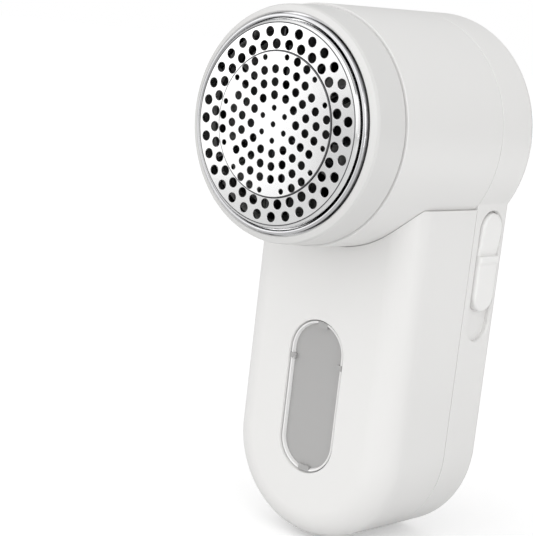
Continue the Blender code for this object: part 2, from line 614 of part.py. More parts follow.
def make_foil_rim():
    """Chrome rim round the foil, held behind the locking ring's lip."""
    front_y = FLANGE_Y - 2.9 * MM
    flange = RIM_OUTER + 0.7 * MM
    flange_rear_y = FLANGE_Y - FOIL_SHEET - GAP
    profile = [
        (RIM_INNER, flange_rear_y), (flange, flange_rear_y),
        (flange, RIM_FLANGE_Y), (RIM_OUTER, RIM_FLANGE_Y),
        (RIM_OUTER, front_y + 0.5 * MM), (RIM_OUTER - 0.35 * MM, front_y + 0.1 * MM),
        (RIM_OUTER - 0.6 * MM, front_y), (RIM_INNER, front_y + 0.3 * MM),
    ]
    add_object("foil_rim", turned("foil_rim", profile), CHROME)


def foil_holes():
    """Centres and diameters of the foil's holes, as (x, z, diameter)."""
    holes = [(0.0, 0.0, SMALL_HOLE)]
    rings = int((DISC_RADIUS - DISC_MARGIN - FIRST_HOLE_RING) / HOLE_RING_PITCH) + 1
    turns = (33, 4.6, 14.7, 5.0, -1.1)
    for k in range(1, rings + 1):
        radius = FIRST_HOLE_RING + (k - 1) * HOLE_RING_PITCH
        turn = math.radians(turns[(k - 1) % len(turns)])
        for i in range(6 * k):
            place = i % k
            outermost = k == rings and k > 4
            if outermost and place == 3:
                continue
            small = k == 1 or (outermost and place in (2, 4))
            angle = turn + math.tau * i / (6 * k)
            diameter = SMALL_HOLE if small else INNER_HOLE
            holes.append((radius * math.cos(angle), radius * math.sin(angle), diameter))
    outer_row = FOIL_FLAT - OUTER_ROW_INSET
    count = int(math.tau * outer_row / OUTER_HOLE_PITCH)
    for row in (0, 1):
        radius = outer_row - row * ROW_SPACING
        for i in range(count):
            angle = math.radians(90) + math.tau * (i + row / 2) / count
            holes.append((radius * math.cos(angle), radius * math.sin(angle), OUTER_HOLE))
    return holes


def make_foil():
    """Thin steel cap with a raised middle disc, rows of holes and a flange under the rim."""
    step = 0.25 * MM
    face = [(0, FOIL_Y - DISC_RAISE), (DISC_RADIUS - step, FOIL_Y - DISC_RAISE), (DISC_RADIUS, FOIL_Y),
            (FOIL_FLAT, FOIL_Y), (FOIL_OUTER - 0.2 * MM, FOIL_Y + 0.3 * MM), (FOIL_OUTER, FOIL_Y + 0.9 * MM),
            (FOIL_OUTER, FLANGE_Y - FOIL_SHEET), (RIM_OUTER, FLANGE_Y - FOIL_SHEET), (RIM_OUTER, FLANGE_Y),
            (FOIL_OUTER - FOIL_SHEET, FLANGE_Y), (FOIL_OUTER - FOIL_SHEET, FOIL_Y + 1.0 * MM),
            (FOIL_FLAT - 0.1 * MM, FOIL_Y + FOIL_SHEET), (DISC_RADIUS, FOIL_Y + FOIL_SHEET),
            (DISC_RADIUS - step, FOIL_Y - DISC_RAISE + FOIL_SHEET), (0, FOIL_Y - DISC_RAISE + FOIL_SHEET)]
    foil = add_object("foil", turned("foil", face), STEEL)
    bm = bmesh.new()
    for x, z, diameter in foil_holes():
        outline = circle((x, z), diameter / 2, HOLE_SIDES)
        front = [bm.verts.new((px, FOIL_Y - 1 * MM, pz)) for px, pz in outline]
        rear = [bm.verts.new((v.co.x, FOIL_Y + 1 * MM, v.co.z)) for v in front]
        bm.faces.new(front)
        bm.faces.new(rear[::-1])
        for i in range(HOLE_SIDES):
            j = (i + 1) % HOLE_SIDES
            bm.faces.new((front[j], front[i], rear[i], rear[j]))
    cut(foil, close_mesh(bm, "foil_holes"))


# Blade disc.
def hexagon(flats):
    return circle((0, 0), flats / math.sqrt(3), 6)


def make_blade_carrier(parent):
    """Spoked plastic disc with a hexagon socket, pegs beside each blade and an outer rim."""
    rim = [(BLADE_TIP - CARRIER_RIM, CARRIER_FRONT_Y), (BLADE_TIP, CARRIER_FRONT_Y),
           (BLADE_TIP, CARRIER_REAR_Y + 0.4 * MM), (BLADE_TIP - CARRIER_RIM, CARRIER_REAR_Y + 0.4 * MM)]
    carrier = add_object("blade_carrier", turned("blade_carrier", rim), WHITE, parent)
    plate = CARRIER_PLATE_SHARE * BLADE_TIP
    centre = [(0, BOSS_FRONT_Y), (CARRIER_BOSS_RADIUS - 1 * MM, BOSS_FRONT_Y),
              (CARRIER_BOSS_RADIUS, CARRIER_FRONT_Y), (plate, CARRIER_FRONT_Y), (plate, CARRIER_REAR_Y),
              (CARRIER_BOSS_RADIUS, CARRIER_REAR_Y),
              (CARRIER_BOSS_RADIUS, BOSS_REAR_Y), (0, BOSS_REAR_Y)]
    fuse(carrier, turned("carrier_centre", centre, 36))
    for i in range(BLADE_COUNT):
        angle = blade_angle(i)
        fuse(carrier, bar(angle, plate - 1 * MM, BLADE_TIP - 0.5 * MM, -SPOKE_WIDTH / 2, SPOKE_WIDTH / 2,
                          CARRIER_FRONT_Y, CARRIER_REAR_Y))
        for share in PEG_PLACES:
            start = share * BLADE_TIP
            fuse(carrier, bar(angle, start, start + 2 * MM, -1.7 * MM, -0.6 * MM,
                              CARRIER_FRONT_Y - 2.4 * MM, CARRIER_FRONT_Y + 0.7 * MM))
    cut(carrier, along_y("socket", hexagon(HEX_FLATS + 2 * GAP), BOSS_FRONT_Y + SOCKET_FLOOR,
                         BOSS_REAR_Y + 1 * MM))


def blade_angle(index):
    return math.radians(30) + math.tau * index / BLADE_COUNT


def bar(angle, r_low, r_high, side_low, side_high, y_low, y_high):
    """A box laid along a radius of the blade disc."""
    along = Vector((math.cos(angle), math.sin(angle)))
    across = Vector((-along.y, along.x))
    corners = [(r_low, side_low), (r_high, side_low), (r_high, side_high), (r_low, side_high)]
    outline = [tuple(along * r + across * s) for r, s in corners]
    return along_y("bar", outline, y_low, y_high)


def make_blade(index, parent):
    """Upright steel strip with a folded foot and a long slot."""
    angle = blade_angle(index)
    inner = CARRIER_BOSS_RADIUS + 0.8 * MM
    outer = BLADE_TIP - 0.6 * MM
    foot_y = BLADE_BASE_Y - BLADE_SHEET
    blade = add_object(f"blade_{index + 1}", bar(angle, inner, outer, 0, BLADE_SHEET, EDGE_Y, BLADE_BASE_Y),
                       STEEL, parent)
    fuse(blade, bar(angle, inner + 1 * MM, outer - 1 * MM, BLADE_SHEET / 2, 1.6 * MM, foot_y, BLADE_BASE_Y))
    middle = (inner + outer) / 2
    cut(blade, bar(angle, middle - 4 * MM, middle + 4 * MM, -1 * MM, 0.9 * MM,
                   foot_y - 1.7 * MM, foot_y - 0.6 * MM))


def make_drive_hub(parent):
    """Plastic spindle pressed on the motor shaft, with a hexagon end that drives the blade disc."""
    bore = SHAFT_RADIUS + GAP
    collar = HUB_RADIUS + 0.6 * MM
    collar_y = HUB_SHOULDER_Y + 1.2 * MM
    profile = [(bore, HUB_REAR_Y), (bore, HUB_SHOULDER_Y + HUB_FLOOR), (0, HUB_SHOULDER_Y + HUB_FLOOR),
               (0, HUB_SHOULDER_Y), (collar, HUB_SHOULDER_Y), (collar, collar_y), (HUB_RADIUS, collar_y),
               (HUB_RADIUS, HUB_REAR_Y)]
    hub = add_object("drive_hub", turned("drive_hub", profile, 24), BLACK, parent)
    hex_front_y = BOSS_FRONT_Y + SOCKET_FLOOR + BLADE_TRAVEL + 2 * GAP
    fuse(hub, along_y("hex", hexagon(HEX_FLATS), hex_front_y, HUB_SHOULDER_Y + 0.5 * MM))


def make_blade_spring(parent):
    """Compression spring between the hub's shoulder and the blade disc."""
    radius = HEX_FLATS / math.sqrt(3) + GAP + SPRING_WIRE / 2
    start = BOSS_REAR_Y + GAP + SPRING_WIRE / 2
    rise = SPRING_LENGTH - SPRING_WIRE
    steps = int(SPRING_TURNS * 12)
    points = []
    for i in range(steps + 1):
        angle = math.tau * SPRING_TURNS * i / steps
        points.append((radius * math.cos(angle), start + rise * i / steps, radius * math.sin(angle)))
    add_wire("blade_spring", points, SPRING_WIRE / 2, NICKEL, parent)


def add_wire(name, points, radius, finish, parent=None):
    """A round wire through points, with closed ends."""
    curve = bpy.data.curves.new(name, "CURVE")
    curve.dimensions = "3D"
    curve.bevel_depth = radius
    curve.bevel_resolution = 1
    curve.use_fill_caps = True
    spline = curve.splines.new("POLY")
    spline.points.add(len(points) - 1)
    for target, point in zip(spline.points, points):
        target.co = (*point, 1.0)
    curve.materials.append(finish)
    made = bpy.data.objects.new(name, curve)
    bpy.context.scene.collection.objects.link(made)
    made.parent = parent


# Motor.
def make_motor(rotor):
    """Brushed motor: can, brass bush, end cap with two terminals, and the shaft that turns."""
    boss_y = TOWER_FRONT_Y + 0.4 * MM
    bore = 2.3 * MM
    shaft_rear_y = CAN_REAR_Y - 4 * MM
    can = [(bore, boss_y), (MOTOR_BOSS, boss_y), (MOTOR_BOSS, MOTOR_FRONT_Y),
           (MOTOR_RADIUS - 0.6 * MM, MOTOR_FRONT_Y), (MOTOR_RADIUS, MOTOR_FRONT_Y + 0.6 * MM),
           (MOTOR_RADIUS, CAN_REAR_Y), (0, CAN_REAR_Y),
           (0, shaft_rear_y + GAP), (SHAFT_RADIUS + GAP, shaft_rear_y + GAP),
           (SHAFT_RADIUS + GAP, MOTOR_FRONT_Y + 3 * MM), (bore, MOTOR_FRONT_Y + 3 * MM)]
    motor = add_object("motor_can", turned("motor_can", can, 36), CAN)
    for side in (-1, 1):
        cut(motor, along_y("thread", circle((side * MOTOR_SCREW_OFFSET, 0), MOTOR_SCREW_HOLE, 12),
                           MOTOR_FRONT_Y - 1 * MM, MOTOR_FRONT_Y + 3 * MM))
    bush = [(SHAFT_RADIUS + GAP, boss_y), (bore - GAP, boss_y), (bore - GAP, MOTOR_FRONT_Y + 2.5 * MM),
            (SHAFT_RADIUS + GAP, MOTOR_FRONT_Y + 2.5 * MM)]
    add_object("motor_bush", turned("motor_bush", bush, SMALL_ROUND), BRASS)
    cap_front_y = CAN_REAR_Y + 0.5 * GAP
    cap_radius = MOTOR_RADIUS - 0.5 * MM
    cap = [(0, cap_front_y), (cap_radius, cap_front_y), (cap_radius, CAP_REAR_Y - 0.5 * MM),
           (cap_radius - 0.5 * MM, CAP_REAR_Y), (0, CAP_REAR_Y)]
    add_object("motor_end_cap", turned("motor_end_cap", cap, 36), WHITE)
    for side, name in ((-1, "motor_terminal_left"), (1, "motor_terminal_right")):
        low, high = sorted((side * 5.2 * MM, side * 5.6 * MM))
        strip = block(name, (low, CAP_REAR_Y + GAP, -1.2 * MM), (high, -WALL - 1 * MM, 1.2 * MM))
        add_object(name, strip, BRASS)
    shaft_front_y = HUB_SHOULDER_Y + HUB_FLOOR + GAP
    shaft = [(0, shaft_front_y), (SHAFT_RADIUS, shaft_front_y), (SHAFT_RADIUS, shaft_rear_y),
             (0, shaft_rear_y)]
    add_object("motor_shaft", turned("motor_shaft", shaft, SMALL_ROUND), STEEL, rotor)
    screw = screw_mesh("motor_screw", SHAFT_RADIUS, 1.9 * MM, 1.3 * MM, 4.0 * MM, -1)
    for index, side in enumerate((-1, 1)):
        add_object(f"motor_screw_{index + 1}", screw, NICKEL,
                   place=(side * MOTOR_SCREW_OFFSET, TOWER_FRONT_Y - GAP, 0))


def screw_mesh(name, shank, head, head_depth, length, facing):
    """Screw with its head's seat at the origin, the head towards facing along Y."""
    profile = [(0, facing * (head_depth - 0.7 * MM)), (0.9 * MM, facing * head_depth),
               (head - 0.4 * MM, facing * head_depth), (head, facing * (head_depth - 0.5 * MM)), (head, 0),
               (shank, 0), (shank, -facing * (length - 0.8 * MM)), (0, -facing * length)]
    return turned(name, profile, SMALL_ROUND)


def make_case_screws():
    """Four self-tapping screws through the back."""
    length = PLATE_BACK - SCREW_SEAT - GAP - 1.2 * MM
    mesh = screw_mesh("case_screw", SCREW_SHANK, SCREW_HEAD, SCREW_HEAD_DEPTH, length, 1)
    for index, (x, z) in enumerate(SCREW_PLACES):
        add_object(f"case_screw_{index + 1}", mesh, NICKEL, place=(x, -SCREW_SEAT + GAP, z))


# Battery, switch and charging board.
def make_battery():
    """Rechargeable cell with a welded tab at each end."""
    profile = circle((CELL_X, CELL_Y), CELL_RADIUS, 28)
    add_object("battery_cell", along_z("battery_cell", profile, CELL_BOTTOM_Z, CELL_TOP_Z), BLUE)
    tabs = (("battery_tab_plus", CELL_TOP_Z + GAP), ("battery_tab_minus", CELL_BOTTOM_Z - GAP - TAB_SHEET))
    for name, z in tabs:
        low = (CELL_X - 2.5 * MM, CELL_Y - 2.5 * MM, z)
        high = (CELL_X + 4.5 * MM, CELL_Y + 2.5 * MM, z + TAB_SHEET)
        add_object(name, block(name, low, high), NICKEL)


def make_switch(slider):
    """Knob with two prongs that push the small slide switch's actuator."""
    knob = add_object("switch_knob", knob_mesh(), PALE, slider)
    for low, high in ((ACTUATOR_HALF + GAP, STEM_HALF), (-STEM_HALF, -ACTUATOR_HALF - GAP)):
        fuse(knob, block("prong", (SWITCH_X + 0.8 * MM, -KNOB_Y - PRONG_HALF, KNOB_Z + low),
                         (POCKET_FLOOR_X + 0.9 * MM, -KNOB_Y + PRONG_HALF, KNOB_Z + high)))
    body_low = (SWITCH_X - SWITCH_HEIGHT, -KNOB_Y - SWITCH_HALF, SWITCH_Z - SWITCH_LENGTH / 2)
    body_high = (SWITCH_X, -KNOB_Y + SWITCH_HALF, SWITCH_Z + SWITCH_LENGTH / 2)
    add_object("switch_body", block("switch_body", body_low, body_high), CAN)
    actuator_low = (SWITCH_X + GAP, -KNOB_Y - 1.1 * MM, KNOB_Z - ACTUATOR_HALF)
    actuator_high = (POCKET_FLOOR_X - GAP, -KNOB_Y + 1.1 * MM, KNOB_Z + ACTUATOR_HALF)
    add_object("switch_actuator", block("switch_actuator", actuator_low, actuator_high), BLACK, slider)


def knob_mesh():
    """Crowned slot-shaped button."""
    base = POCKET_FLOOR_X + GAP
    crown = SIDE_X + KNOB_PROUD
    sections = [(KNOB_HALF, KNOB_LENGTH, base), (KNOB_HALF, KNOB_LENGTH, SIDE_X + 0.3 * MM),
                (KNOB_HALF - 0.5 * MM, KNOB_LENGTH - 1 * MM, crown - 0.15 * MM),
                (KNOB_HALF - 1.1 * MM, KNOB_LENGTH - 2.2 * MM, crown)]
    loops = [[(x, y, z) for y, z in slot((-KNOB_Y, KNOB_Z), half, length)] for half, length, x in sections]
    return loft("switch_knob", loops)


def make_charging():
    """Charging board behind the round end, with its chip and the socket in the cover's lower wall."""
    rear_y = -BOARD_FRONT + BOARD_SHEET
    add_object("charge_board", block("charge_board", (-BOARD_HALF, -BOARD_FRONT, BOARD_BOTTOM_Z),
                                     (BOARD_HALF, rear_y, BOARD_TOP_Z)), GREEN)
    socket_y = rear_y + GAP + SOCKET_HEIGHT / 2
    mouth_z = -HANDLE_DROP - handle_half(socket_y) + 0.4 * MM
    loops = []
    for inset, z in ((0, mouth_z + SOCKET_LENGTH), (0, mouth_z), (SOCKET_WALL, mouth_z),
                     (SOCKET_WALL, mouth_z + SOCKET_LENGTH - 0.8 * MM)):
        half_x = SOCKET_HALF - inset
        half_y = SOCKET_HEIGHT / 2 - inset
        loops.append([(-half_x, socket_y - half_y, z), (half_x, socket_y - half_y, z),
                      (half_x, socket_y + half_y, z), (-half_x, socket_y + half_y, z)])
    add_object("charge_socket", loft("charge_socket", loops), NICKEL)
    add_object("charge_chip", block("charge_chip", (-2.5 * MM, rear_y + 0.1 * MM, BOARD_TOP_Z - 9 * MM),
                                    (2.5 * MM, rear_y + 1.5 * MM, BOARD_TOP_Z - 4 * MM)), BLACK)


def smooth_path(points, steps=4):
    """Points on a smooth curve through the given ones."""
    ends = [2 * Vector(points[0]) - Vector(points[1])]
    ends += [Vector(p) for p in points]
    ends.append(2 * Vector(points[-1]) - Vector(points[-2]))
    path = []
    for a, b, c, d in zip(ends, ends[1:], ends[2:], ends[3:]):
        for i in range(steps):
            t = i / steps
            path.append(0.5 * (2 * b + (c - a) * t + (2 * a - 5 * b + 4 * c - d) * t * t
                               + (3 * b - a - 3 * c + d) * t ** 3))
    path.append(Vector(points[-1]))
    return [tuple(p) for p in path]


def make_leads():
    """Four leads inside the rear cover, each along its own row of points."""
    lead = 0.6 * MM
    rear_y = -WALL - lead - 1.2 * MM
    terminal_x = 5.4 * MM
    terminal_z = -1.2 * MM - GAP
    room_z = -TOWER_OUTER - 2 * MM
    switch_x = SWITCH_X - SWITCH_HEIGHT - GAP
    switch_low_z = SWITCH_Z - 4 * MM
    switch_high_z = SWITCH_Z + 4 * MM
    cell_x = CELL_X + 2 * MM
    tab_clear = 2 * GAP + TAB_SHEET + lead
    board_x = 3 * MM
    board_y = -BOARD_FRONT + BOARD_SHEET / 2
    above_board = BOARD_TOP_Z + 3 * MM
    below_cell = CELL_BOTTOM_Z - tab_clear
    above_cell = CELL_TOP_Z + tab_clear
    add_lead("lead_switch_motor", lead, RED_LEAD, [
        (terminal_x, rear_y, terminal_z), (terminal_x, rear_y, room_z + 5 * MM), (7 * MM, rear_y, room_z),
        (switch_x - 5 * MM, rear_y - 1 * MM, switch_high_z + 3 * MM),
        (switch_x - 2 * MM, -KNOB_Y, switch_high_z), (switch_x, -KNOB_Y, switch_high_z)])
    add_lead("lead_board_motor", lead, BLACK_LEAD, [
        (-terminal_x, rear_y, terminal_z), (-terminal_x, rear_y, room_z + 5 * MM),
        (0, rear_y, room_z - 4 * MM),
        (board_x, rear_y, CELL_BOTTOM_Z + 20 * MM), (board_x, rear_y, BOARD_TOP_Z + 9 * MM),
        (board_x, board_y, above_board), (board_x, board_y, BOARD_TOP_Z + GAP)])
    add_lead("lead_cell_switch", lead, RED_LEAD, [
        (cell_x, CELL_Y, above_cell), (CELL_X + CELL_RADIUS + 1 * MM, CELL_Y, above_cell),
        (CELL_X + CELL_RADIUS + 4 * MM, CELL_Y - 2 * MM, CELL_TOP_Z - 4 * MM),
        (switch_x - 7 * MM, CELL_Y - 2 * MM, switch_low_z - 2 * MM),
        (switch_x - 2 * MM, -KNOB_Y, switch_low_z), (switch_x, -KNOB_Y, switch_low_z)])
    add_lead("lead_cell_board", lead, BLACK_LEAD, [
        (cell_x, CELL_Y, below_cell), (CELL_X + CELL_RADIUS, CELL_Y, below_cell - 0.5 * MM),
        (-board_x, board_y, above_board), (-board_x, board_y, BOARD_TOP_Z + GAP)])


def add_lead(name, radius, finish, points):
    add_wire(name, smooth_path(points), radius, finish)


def add_empty(name, place=(0, 0, 0)):
    made = bpy.data.objects.new(name, None)
    bpy.context.scene.collection.objects.link(made)
    made.location = place
    return made


head_axis = add_empty("head_axis")
switch_slide = add_empty("switch_slide")

make_front_housing()
make_rear_cover()
make_lint_bin()
make_bin_window()
make_locking_ring()
make_foil_rim()
make_foil()
make_blade_carrier(head_axis)
for blade_index in range(BLADE_COUNT):
    make_blade(blade_index, head_axis)
make_drive_hub(head_axis)
make_blade_spring(head_axis)
make_motor(head_axis)
make_case_screws()
make_battery()
make_switch(switch_slide)
make_charging()
make_leads()
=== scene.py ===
"""Looks of the fabric shaver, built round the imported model.

Its axes are the model's: the cutting head's axis is the world Y axis, the foil faces -Y, the flat back
lies on y = 0 and the handle hangs down along -Z. Sizes are in metres.
"""
import json
import math

import bmesh
import bpy
from mathutils import Matrix, Vector


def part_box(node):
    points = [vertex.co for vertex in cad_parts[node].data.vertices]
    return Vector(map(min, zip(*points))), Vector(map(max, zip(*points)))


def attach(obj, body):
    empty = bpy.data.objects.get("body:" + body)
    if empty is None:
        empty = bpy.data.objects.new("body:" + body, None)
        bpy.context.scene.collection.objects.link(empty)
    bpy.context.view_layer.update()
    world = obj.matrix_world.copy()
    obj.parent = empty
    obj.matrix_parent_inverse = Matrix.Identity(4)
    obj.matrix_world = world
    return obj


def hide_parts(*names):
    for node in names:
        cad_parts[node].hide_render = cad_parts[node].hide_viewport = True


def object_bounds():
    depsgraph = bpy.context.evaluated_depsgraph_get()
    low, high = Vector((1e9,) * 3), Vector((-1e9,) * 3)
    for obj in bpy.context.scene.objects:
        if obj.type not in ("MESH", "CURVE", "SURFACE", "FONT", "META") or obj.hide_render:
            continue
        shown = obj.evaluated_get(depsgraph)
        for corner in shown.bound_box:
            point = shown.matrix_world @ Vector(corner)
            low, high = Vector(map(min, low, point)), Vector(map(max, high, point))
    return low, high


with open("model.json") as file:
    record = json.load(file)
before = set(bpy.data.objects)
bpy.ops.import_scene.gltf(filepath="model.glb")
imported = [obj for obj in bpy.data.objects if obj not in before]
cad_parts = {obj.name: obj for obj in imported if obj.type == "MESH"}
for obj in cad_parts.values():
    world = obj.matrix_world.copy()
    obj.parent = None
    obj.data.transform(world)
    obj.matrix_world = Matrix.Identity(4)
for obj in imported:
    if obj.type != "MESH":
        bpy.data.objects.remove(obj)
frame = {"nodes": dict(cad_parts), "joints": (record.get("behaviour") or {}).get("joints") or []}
cad_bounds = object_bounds()

MM = 0.001

# Clearances and small shapes that the frame's boxes don't give.
GAP = 0.3 * MM                  # clearance between neighbouring pieces of the model
SEAM = 0.12 * MM                # gap that shows between two pieces of the case
DRAFT = 0.03                    # growth in radius for each unit towards the back
WALL = 2.0 * MM
BACK_FILLET = 3.0 * MM
FRONT_FILLET = 7.0 * MM
SOFT_EDGE = 0.2 * MM            # rounding of the edges along the seams
PLATE = 1.6 * MM
PLATE_REAR_Y = -17.7 * MM
RAIL_LIP = 1.1 * MM
RIM_WALL = 1.2 * MM
RIM_OVERLAP = 1.7 * MM
TOWER_WALL = 1.6 * MM
SCREW_BOSS = 2.6 * MM
CASE_BOSS = 3.0 * MM
BIN_BACK = 1.6 * MM
OUTLET_HALF = 14.0 * MM
PILOT = 1.35 * MM               # radius of the holes for the case screws' shanks
BOSS_END_Y = -9.3 * MM          # rear ends of the housing's screw bosses
TUBE_END_Y = BOSS_END_Y + GAP
SHAFT_HOLE = 3.3 * MM
MOTOR_SCREW_X = 8 * MM          # the two motor screws stand this far from the axis
MOTOR_SCREW_HOLE = 1.3 * MM
SWITCH_RIB = 1.2 * MM
PRONG_REACH = 3.0 * MM          # the knob's prongs reach this far above and below its middle
SCREW_SEAT = 2.5 * MM           # radius and depth of the sinks for the case screws' heads
SEAT_DEPTH = 6 * MM

# Corners of a box round the whole object, for cutters that only have to pass it.
REACH_LOW = (-50 * MM, -60 * MM, -130 * MM)
REACH_HIGH = (50 * MM, 10 * MM, 50 * MM)

# Places read from the frame.
cover_low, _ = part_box("rear_cover")
housing_low, housing_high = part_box("front_housing")
bin_low, bin_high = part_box("lint_bin")
window_low, window_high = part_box("bin_window")
ring_low, ring_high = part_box("locking_ring")
rim_low, rim_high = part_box("foil_rim")
foil_low, foil_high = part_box("foil")
knob_low, knob_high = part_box("switch_knob")
_, motor_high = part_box("motor_can")
_, cap_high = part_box("motor_end_cap")
cell_low, cell_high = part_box("battery_cell")
socket_low, socket_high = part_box("charge_socket")
switch_low, switch_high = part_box("switch_body")

SEAM_Y = cover_low.y - GAP / 2
BARREL_RADIUS = housing_high.x + DRAFT * GAP / 2
BIN_REAR_Y = SEAM_Y - GAP
HANDLE_HALF = bin_high.x + DRAFT * GAP
HANDLE_DROP = -bin_low.z - bin_high.x
HANDLE_FRONT_Y = bin_low.y
BARREL_FRONT_Y = ring_high.y + GAP
SHOULDER_Z = bin_high.z + GAP
NECK_FRONT_Y = housing_low.y
RING_OUTER = ring_high.x
RING_BORE = RING_OUTER - 1.7 * MM
NECK_OUTER = RING_BORE - GAP
NECK_INNER = NECK_OUTER - 1.8 * MM
RIM_FLANGE = rim_high.x
RIM_OUTER = RIM_FLANGE - 0.7 * MM
RIM_INNER = RIM_OUTER - 1.0 * MM
FOIL_OUTER = RIM_INNER - GAP
FOIL_FLAT = FOIL_OUTER - 0.75 * MM
DISC_RADIUS = FOIL_FLAT - 6.1 * MM
DISC_Y = foil_low.y
FOIL_Y = DISC_Y + 0.27 * MM
PLATE_FRONT_Y = PLATE_REAR_Y - PLATE
BIN_BACK_Y = PLATE_FRONT_Y - GAP
TOWER_FRONT_Y = -35.3 * MM
OUTER_FALL = 0.16 * MM          # the foil's outer ring slopes back by this much
FLAT_INSET = 12 * MM            # the handle's front face is closed from this far inside its outline
MOTOR_RADIUS = motor_high.x
TOWER_INNER = MOTOR_RADIUS + GAP
TOWER_OUTER = TOWER_INNER + TOWER_WALL
TRAY_INSET = WALL + GAP + RAIL_LIP + GAP
SCREWS = [sum(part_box(f"case_screw_{i}"), Vector()) / 2 for i in (1, 2, 3, 4)]
WINDOW_FLANGE = 1.5 * MM
WINDOW_HALF = window_high.x - WINDOW_FLANGE
WINDOW_TOP = window_high.z - WINDOW_FLANGE
WINDOW_BOTTOM = window_low.z + WINDOW_FLANGE
WINDOW_Z = (WINDOW_TOP + WINDOW_BOTTOM) / 2
WINDOW_LENGTH = WINDOW_TOP - WINDOW_BOTTOM
KNOB_Y = (knob_low.y + knob_high.y) / 2
KNOB_Z = (knob_low.z + knob_high.z) / 2
KNOB_HALF = (knob_high.y - knob_low.y) / 2
KNOB_LENGTH = knob_high.z - knob_low.z
KNOB_TRAVEL = next(j for j in frame["joints"] if j["name"] == "switch_slide")["range_m"][1]


def barrel_radius(y):
    """Outer radius of the barrel at depth y."""
    return BARREL_RADIUS + DRAFT * (y - SEAM_Y)


def handle_half(y):
    """Half the handle's width at depth y, and the radius of its round end."""
    return HANDLE_HALF + DRAFT * (y - SEAM_Y)


SIDE_X = handle_half(KNOB_Y)
POCKET_HALF = KNOB_HALF + 0.4 * MM
POCKET_TOP = knob_high.z + 0.4 * MM
POCKET_LENGTH = KNOB_LENGTH + KNOB_TRAVEL + 0.8 * MM
POCKET_FLOOR_X = SIDE_X - 1.2 * MM

# Fineness.
ROUND = 224                     # sides of a turned piece
END_STEPS = 96                  # steps round the handle's lower end
HOLE_SIDES = 28
SMOOTH_ANGLE = 32               # degrees; edges with a smaller turn than this are shaded smooth


# Meshes.
def close_mesh(bm, name):
    """Turn a bmesh into a mesh with its faces pointing out, and shade its round surfaces smooth."""
    bmesh.ops.remove_doubles(bm, verts=bm.verts, dist=1e-7)
    bmesh.ops.recalc_face_normals(bm, faces=bm.faces)
    mesh = bpy.data.meshes.new(name)
    bm.to_mesh(mesh)
    bm.free()
    mesh.shade_smooth()
    mesh.set_sharp_from_angle(angle=math.radians(SMOOTH_ANGLE))
    return mesh


def add_piece(name, mesh, body, finish, *nodes, slot=None):
    """A piece of the object that rides on a body and stands for CAD nodes."""
    piece = bpy.data.objects.new(name, mesh)
    bpy.context.scene.collection.objects.link(piece)
    mesh.materials.clear()
    mesh.materials.append(finish)
    even = piece.modifiers.new("even_normals", "WEIGHTED_NORMAL")
    even.keep_sharp = True
    even.weight = 100
    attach(piece, body)
    if nodes:
        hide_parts(*nodes)


def loft(name, loops, cap_end=True):
    """A closed solid through outlines with equal numbers of points, capped at its ends."""
    bm = bmesh.new()
    rings = [[bm.verts.new(point) for point in loop] for loop in loops]
    count = len(rings[0])
    for near, far in zip(rings, rings[1:]):
        for i in range(count):
            j = (i + 1) % count
            bm.faces.new((near[i], near[j], far[j], far[i]))
    bm.faces.new(rings[0][::-1])
    if cap_end:
        bm.faces.new(rings[-1])
    return close_mesh(bm, name)


def turned(name, profile, sides=ROUND):
    """A closed profile of (radius, y) points, spun about the Y axis."""
    bm = bmesh.new()
    points = [bm.verts.new((radius, y, 0)) for radius, y in profile]
    edges = [bm.edges.new((a, b)) for a, b in zip(points, points[1:])]
    if profile[0][0] > 0 or profile[-1][0] > 0:
        edges.append(bm.edges.new((points[-1], points[0])))
    bmesh.ops.spin(bm, geom=points + edges, cent=(0, 0, 0), axis=(0, 1, 0),
                   angle=math.tau, steps=sides, use_duplicate=False)
    return close_mesh(bm, name)


def rounded(corners, steps=5):
    """Points of an outline whose corners, given as (a, b, radius), are rounded."""
    points = []
    for i, (a, b, radius) in enumerate(corners):
        here = Vector((a, b))
        if radius == 0:
            points.append((a, b))
            continue
        to_before = (Vector(corners[i - 1][:2]) - here).normalized()
        to_after = (Vector(corners[(i + 1) % len(corners)][:2]) - here).normalized()
        half = to_before.angle(to_after) / 2
        centre = here + (to_before + to_after).normalized() * radius / math.sin(half)
        start = here + to_before * radius / math.tan(half) - centre
        end = here + to_after * radius / math.tan(half) - centre
        sweep = math.atan2(start.cross(end), start.dot(end))
        for k in range(steps + 1):
            turn = Matrix.Rotation(sweep * k / steps, 2)
            points.append(tuple(centre + turn @ start))
    return points


def circle(centre, radius, sides):
    return [(centre[0] + radius * math.cos(math.tau * i / sides),
             centre[1] + radius * math.sin(math.tau * i / sides)) for i in range(sides)]


def slot(centre, half, length, steps=24, straight=1):
    """Outline of an upright slot: two half circles of radius half, length overall."""
    reach = length / 2 - half
    upper = [(half * math.cos(math.pi * i / steps), reach + half * math.sin(math.pi * i / steps))
             for i in range(steps + 1)]
    side = [(-half, reach - 2 * reach * i / straight) for i in range(1, straight)]
    outline = upper + side
    outline += [(-a, -b) for a, b in outline]
    return [(centre[0] + a, centre[1] + b) for a, b in outline]


def along(axis, name, outline, low, high):
    """A prism along an axis, from an outline in the other two."""
    slot_of_axis = "xyz".index(axis)
    loops = []
    for height in (low, high):
        points = [list(pair) for pair in outline]
        for point in points:
            point.insert(slot_of_axis, height)
        loops.append(points)
    return loft(name, loops)


def block(name, low, high):
    outline = [(low[0], low[1]), (high[0], low[1]), (high[0], high[1]), (low[0], high[1])]
    return along("z", name, outline, low[2], high[2])


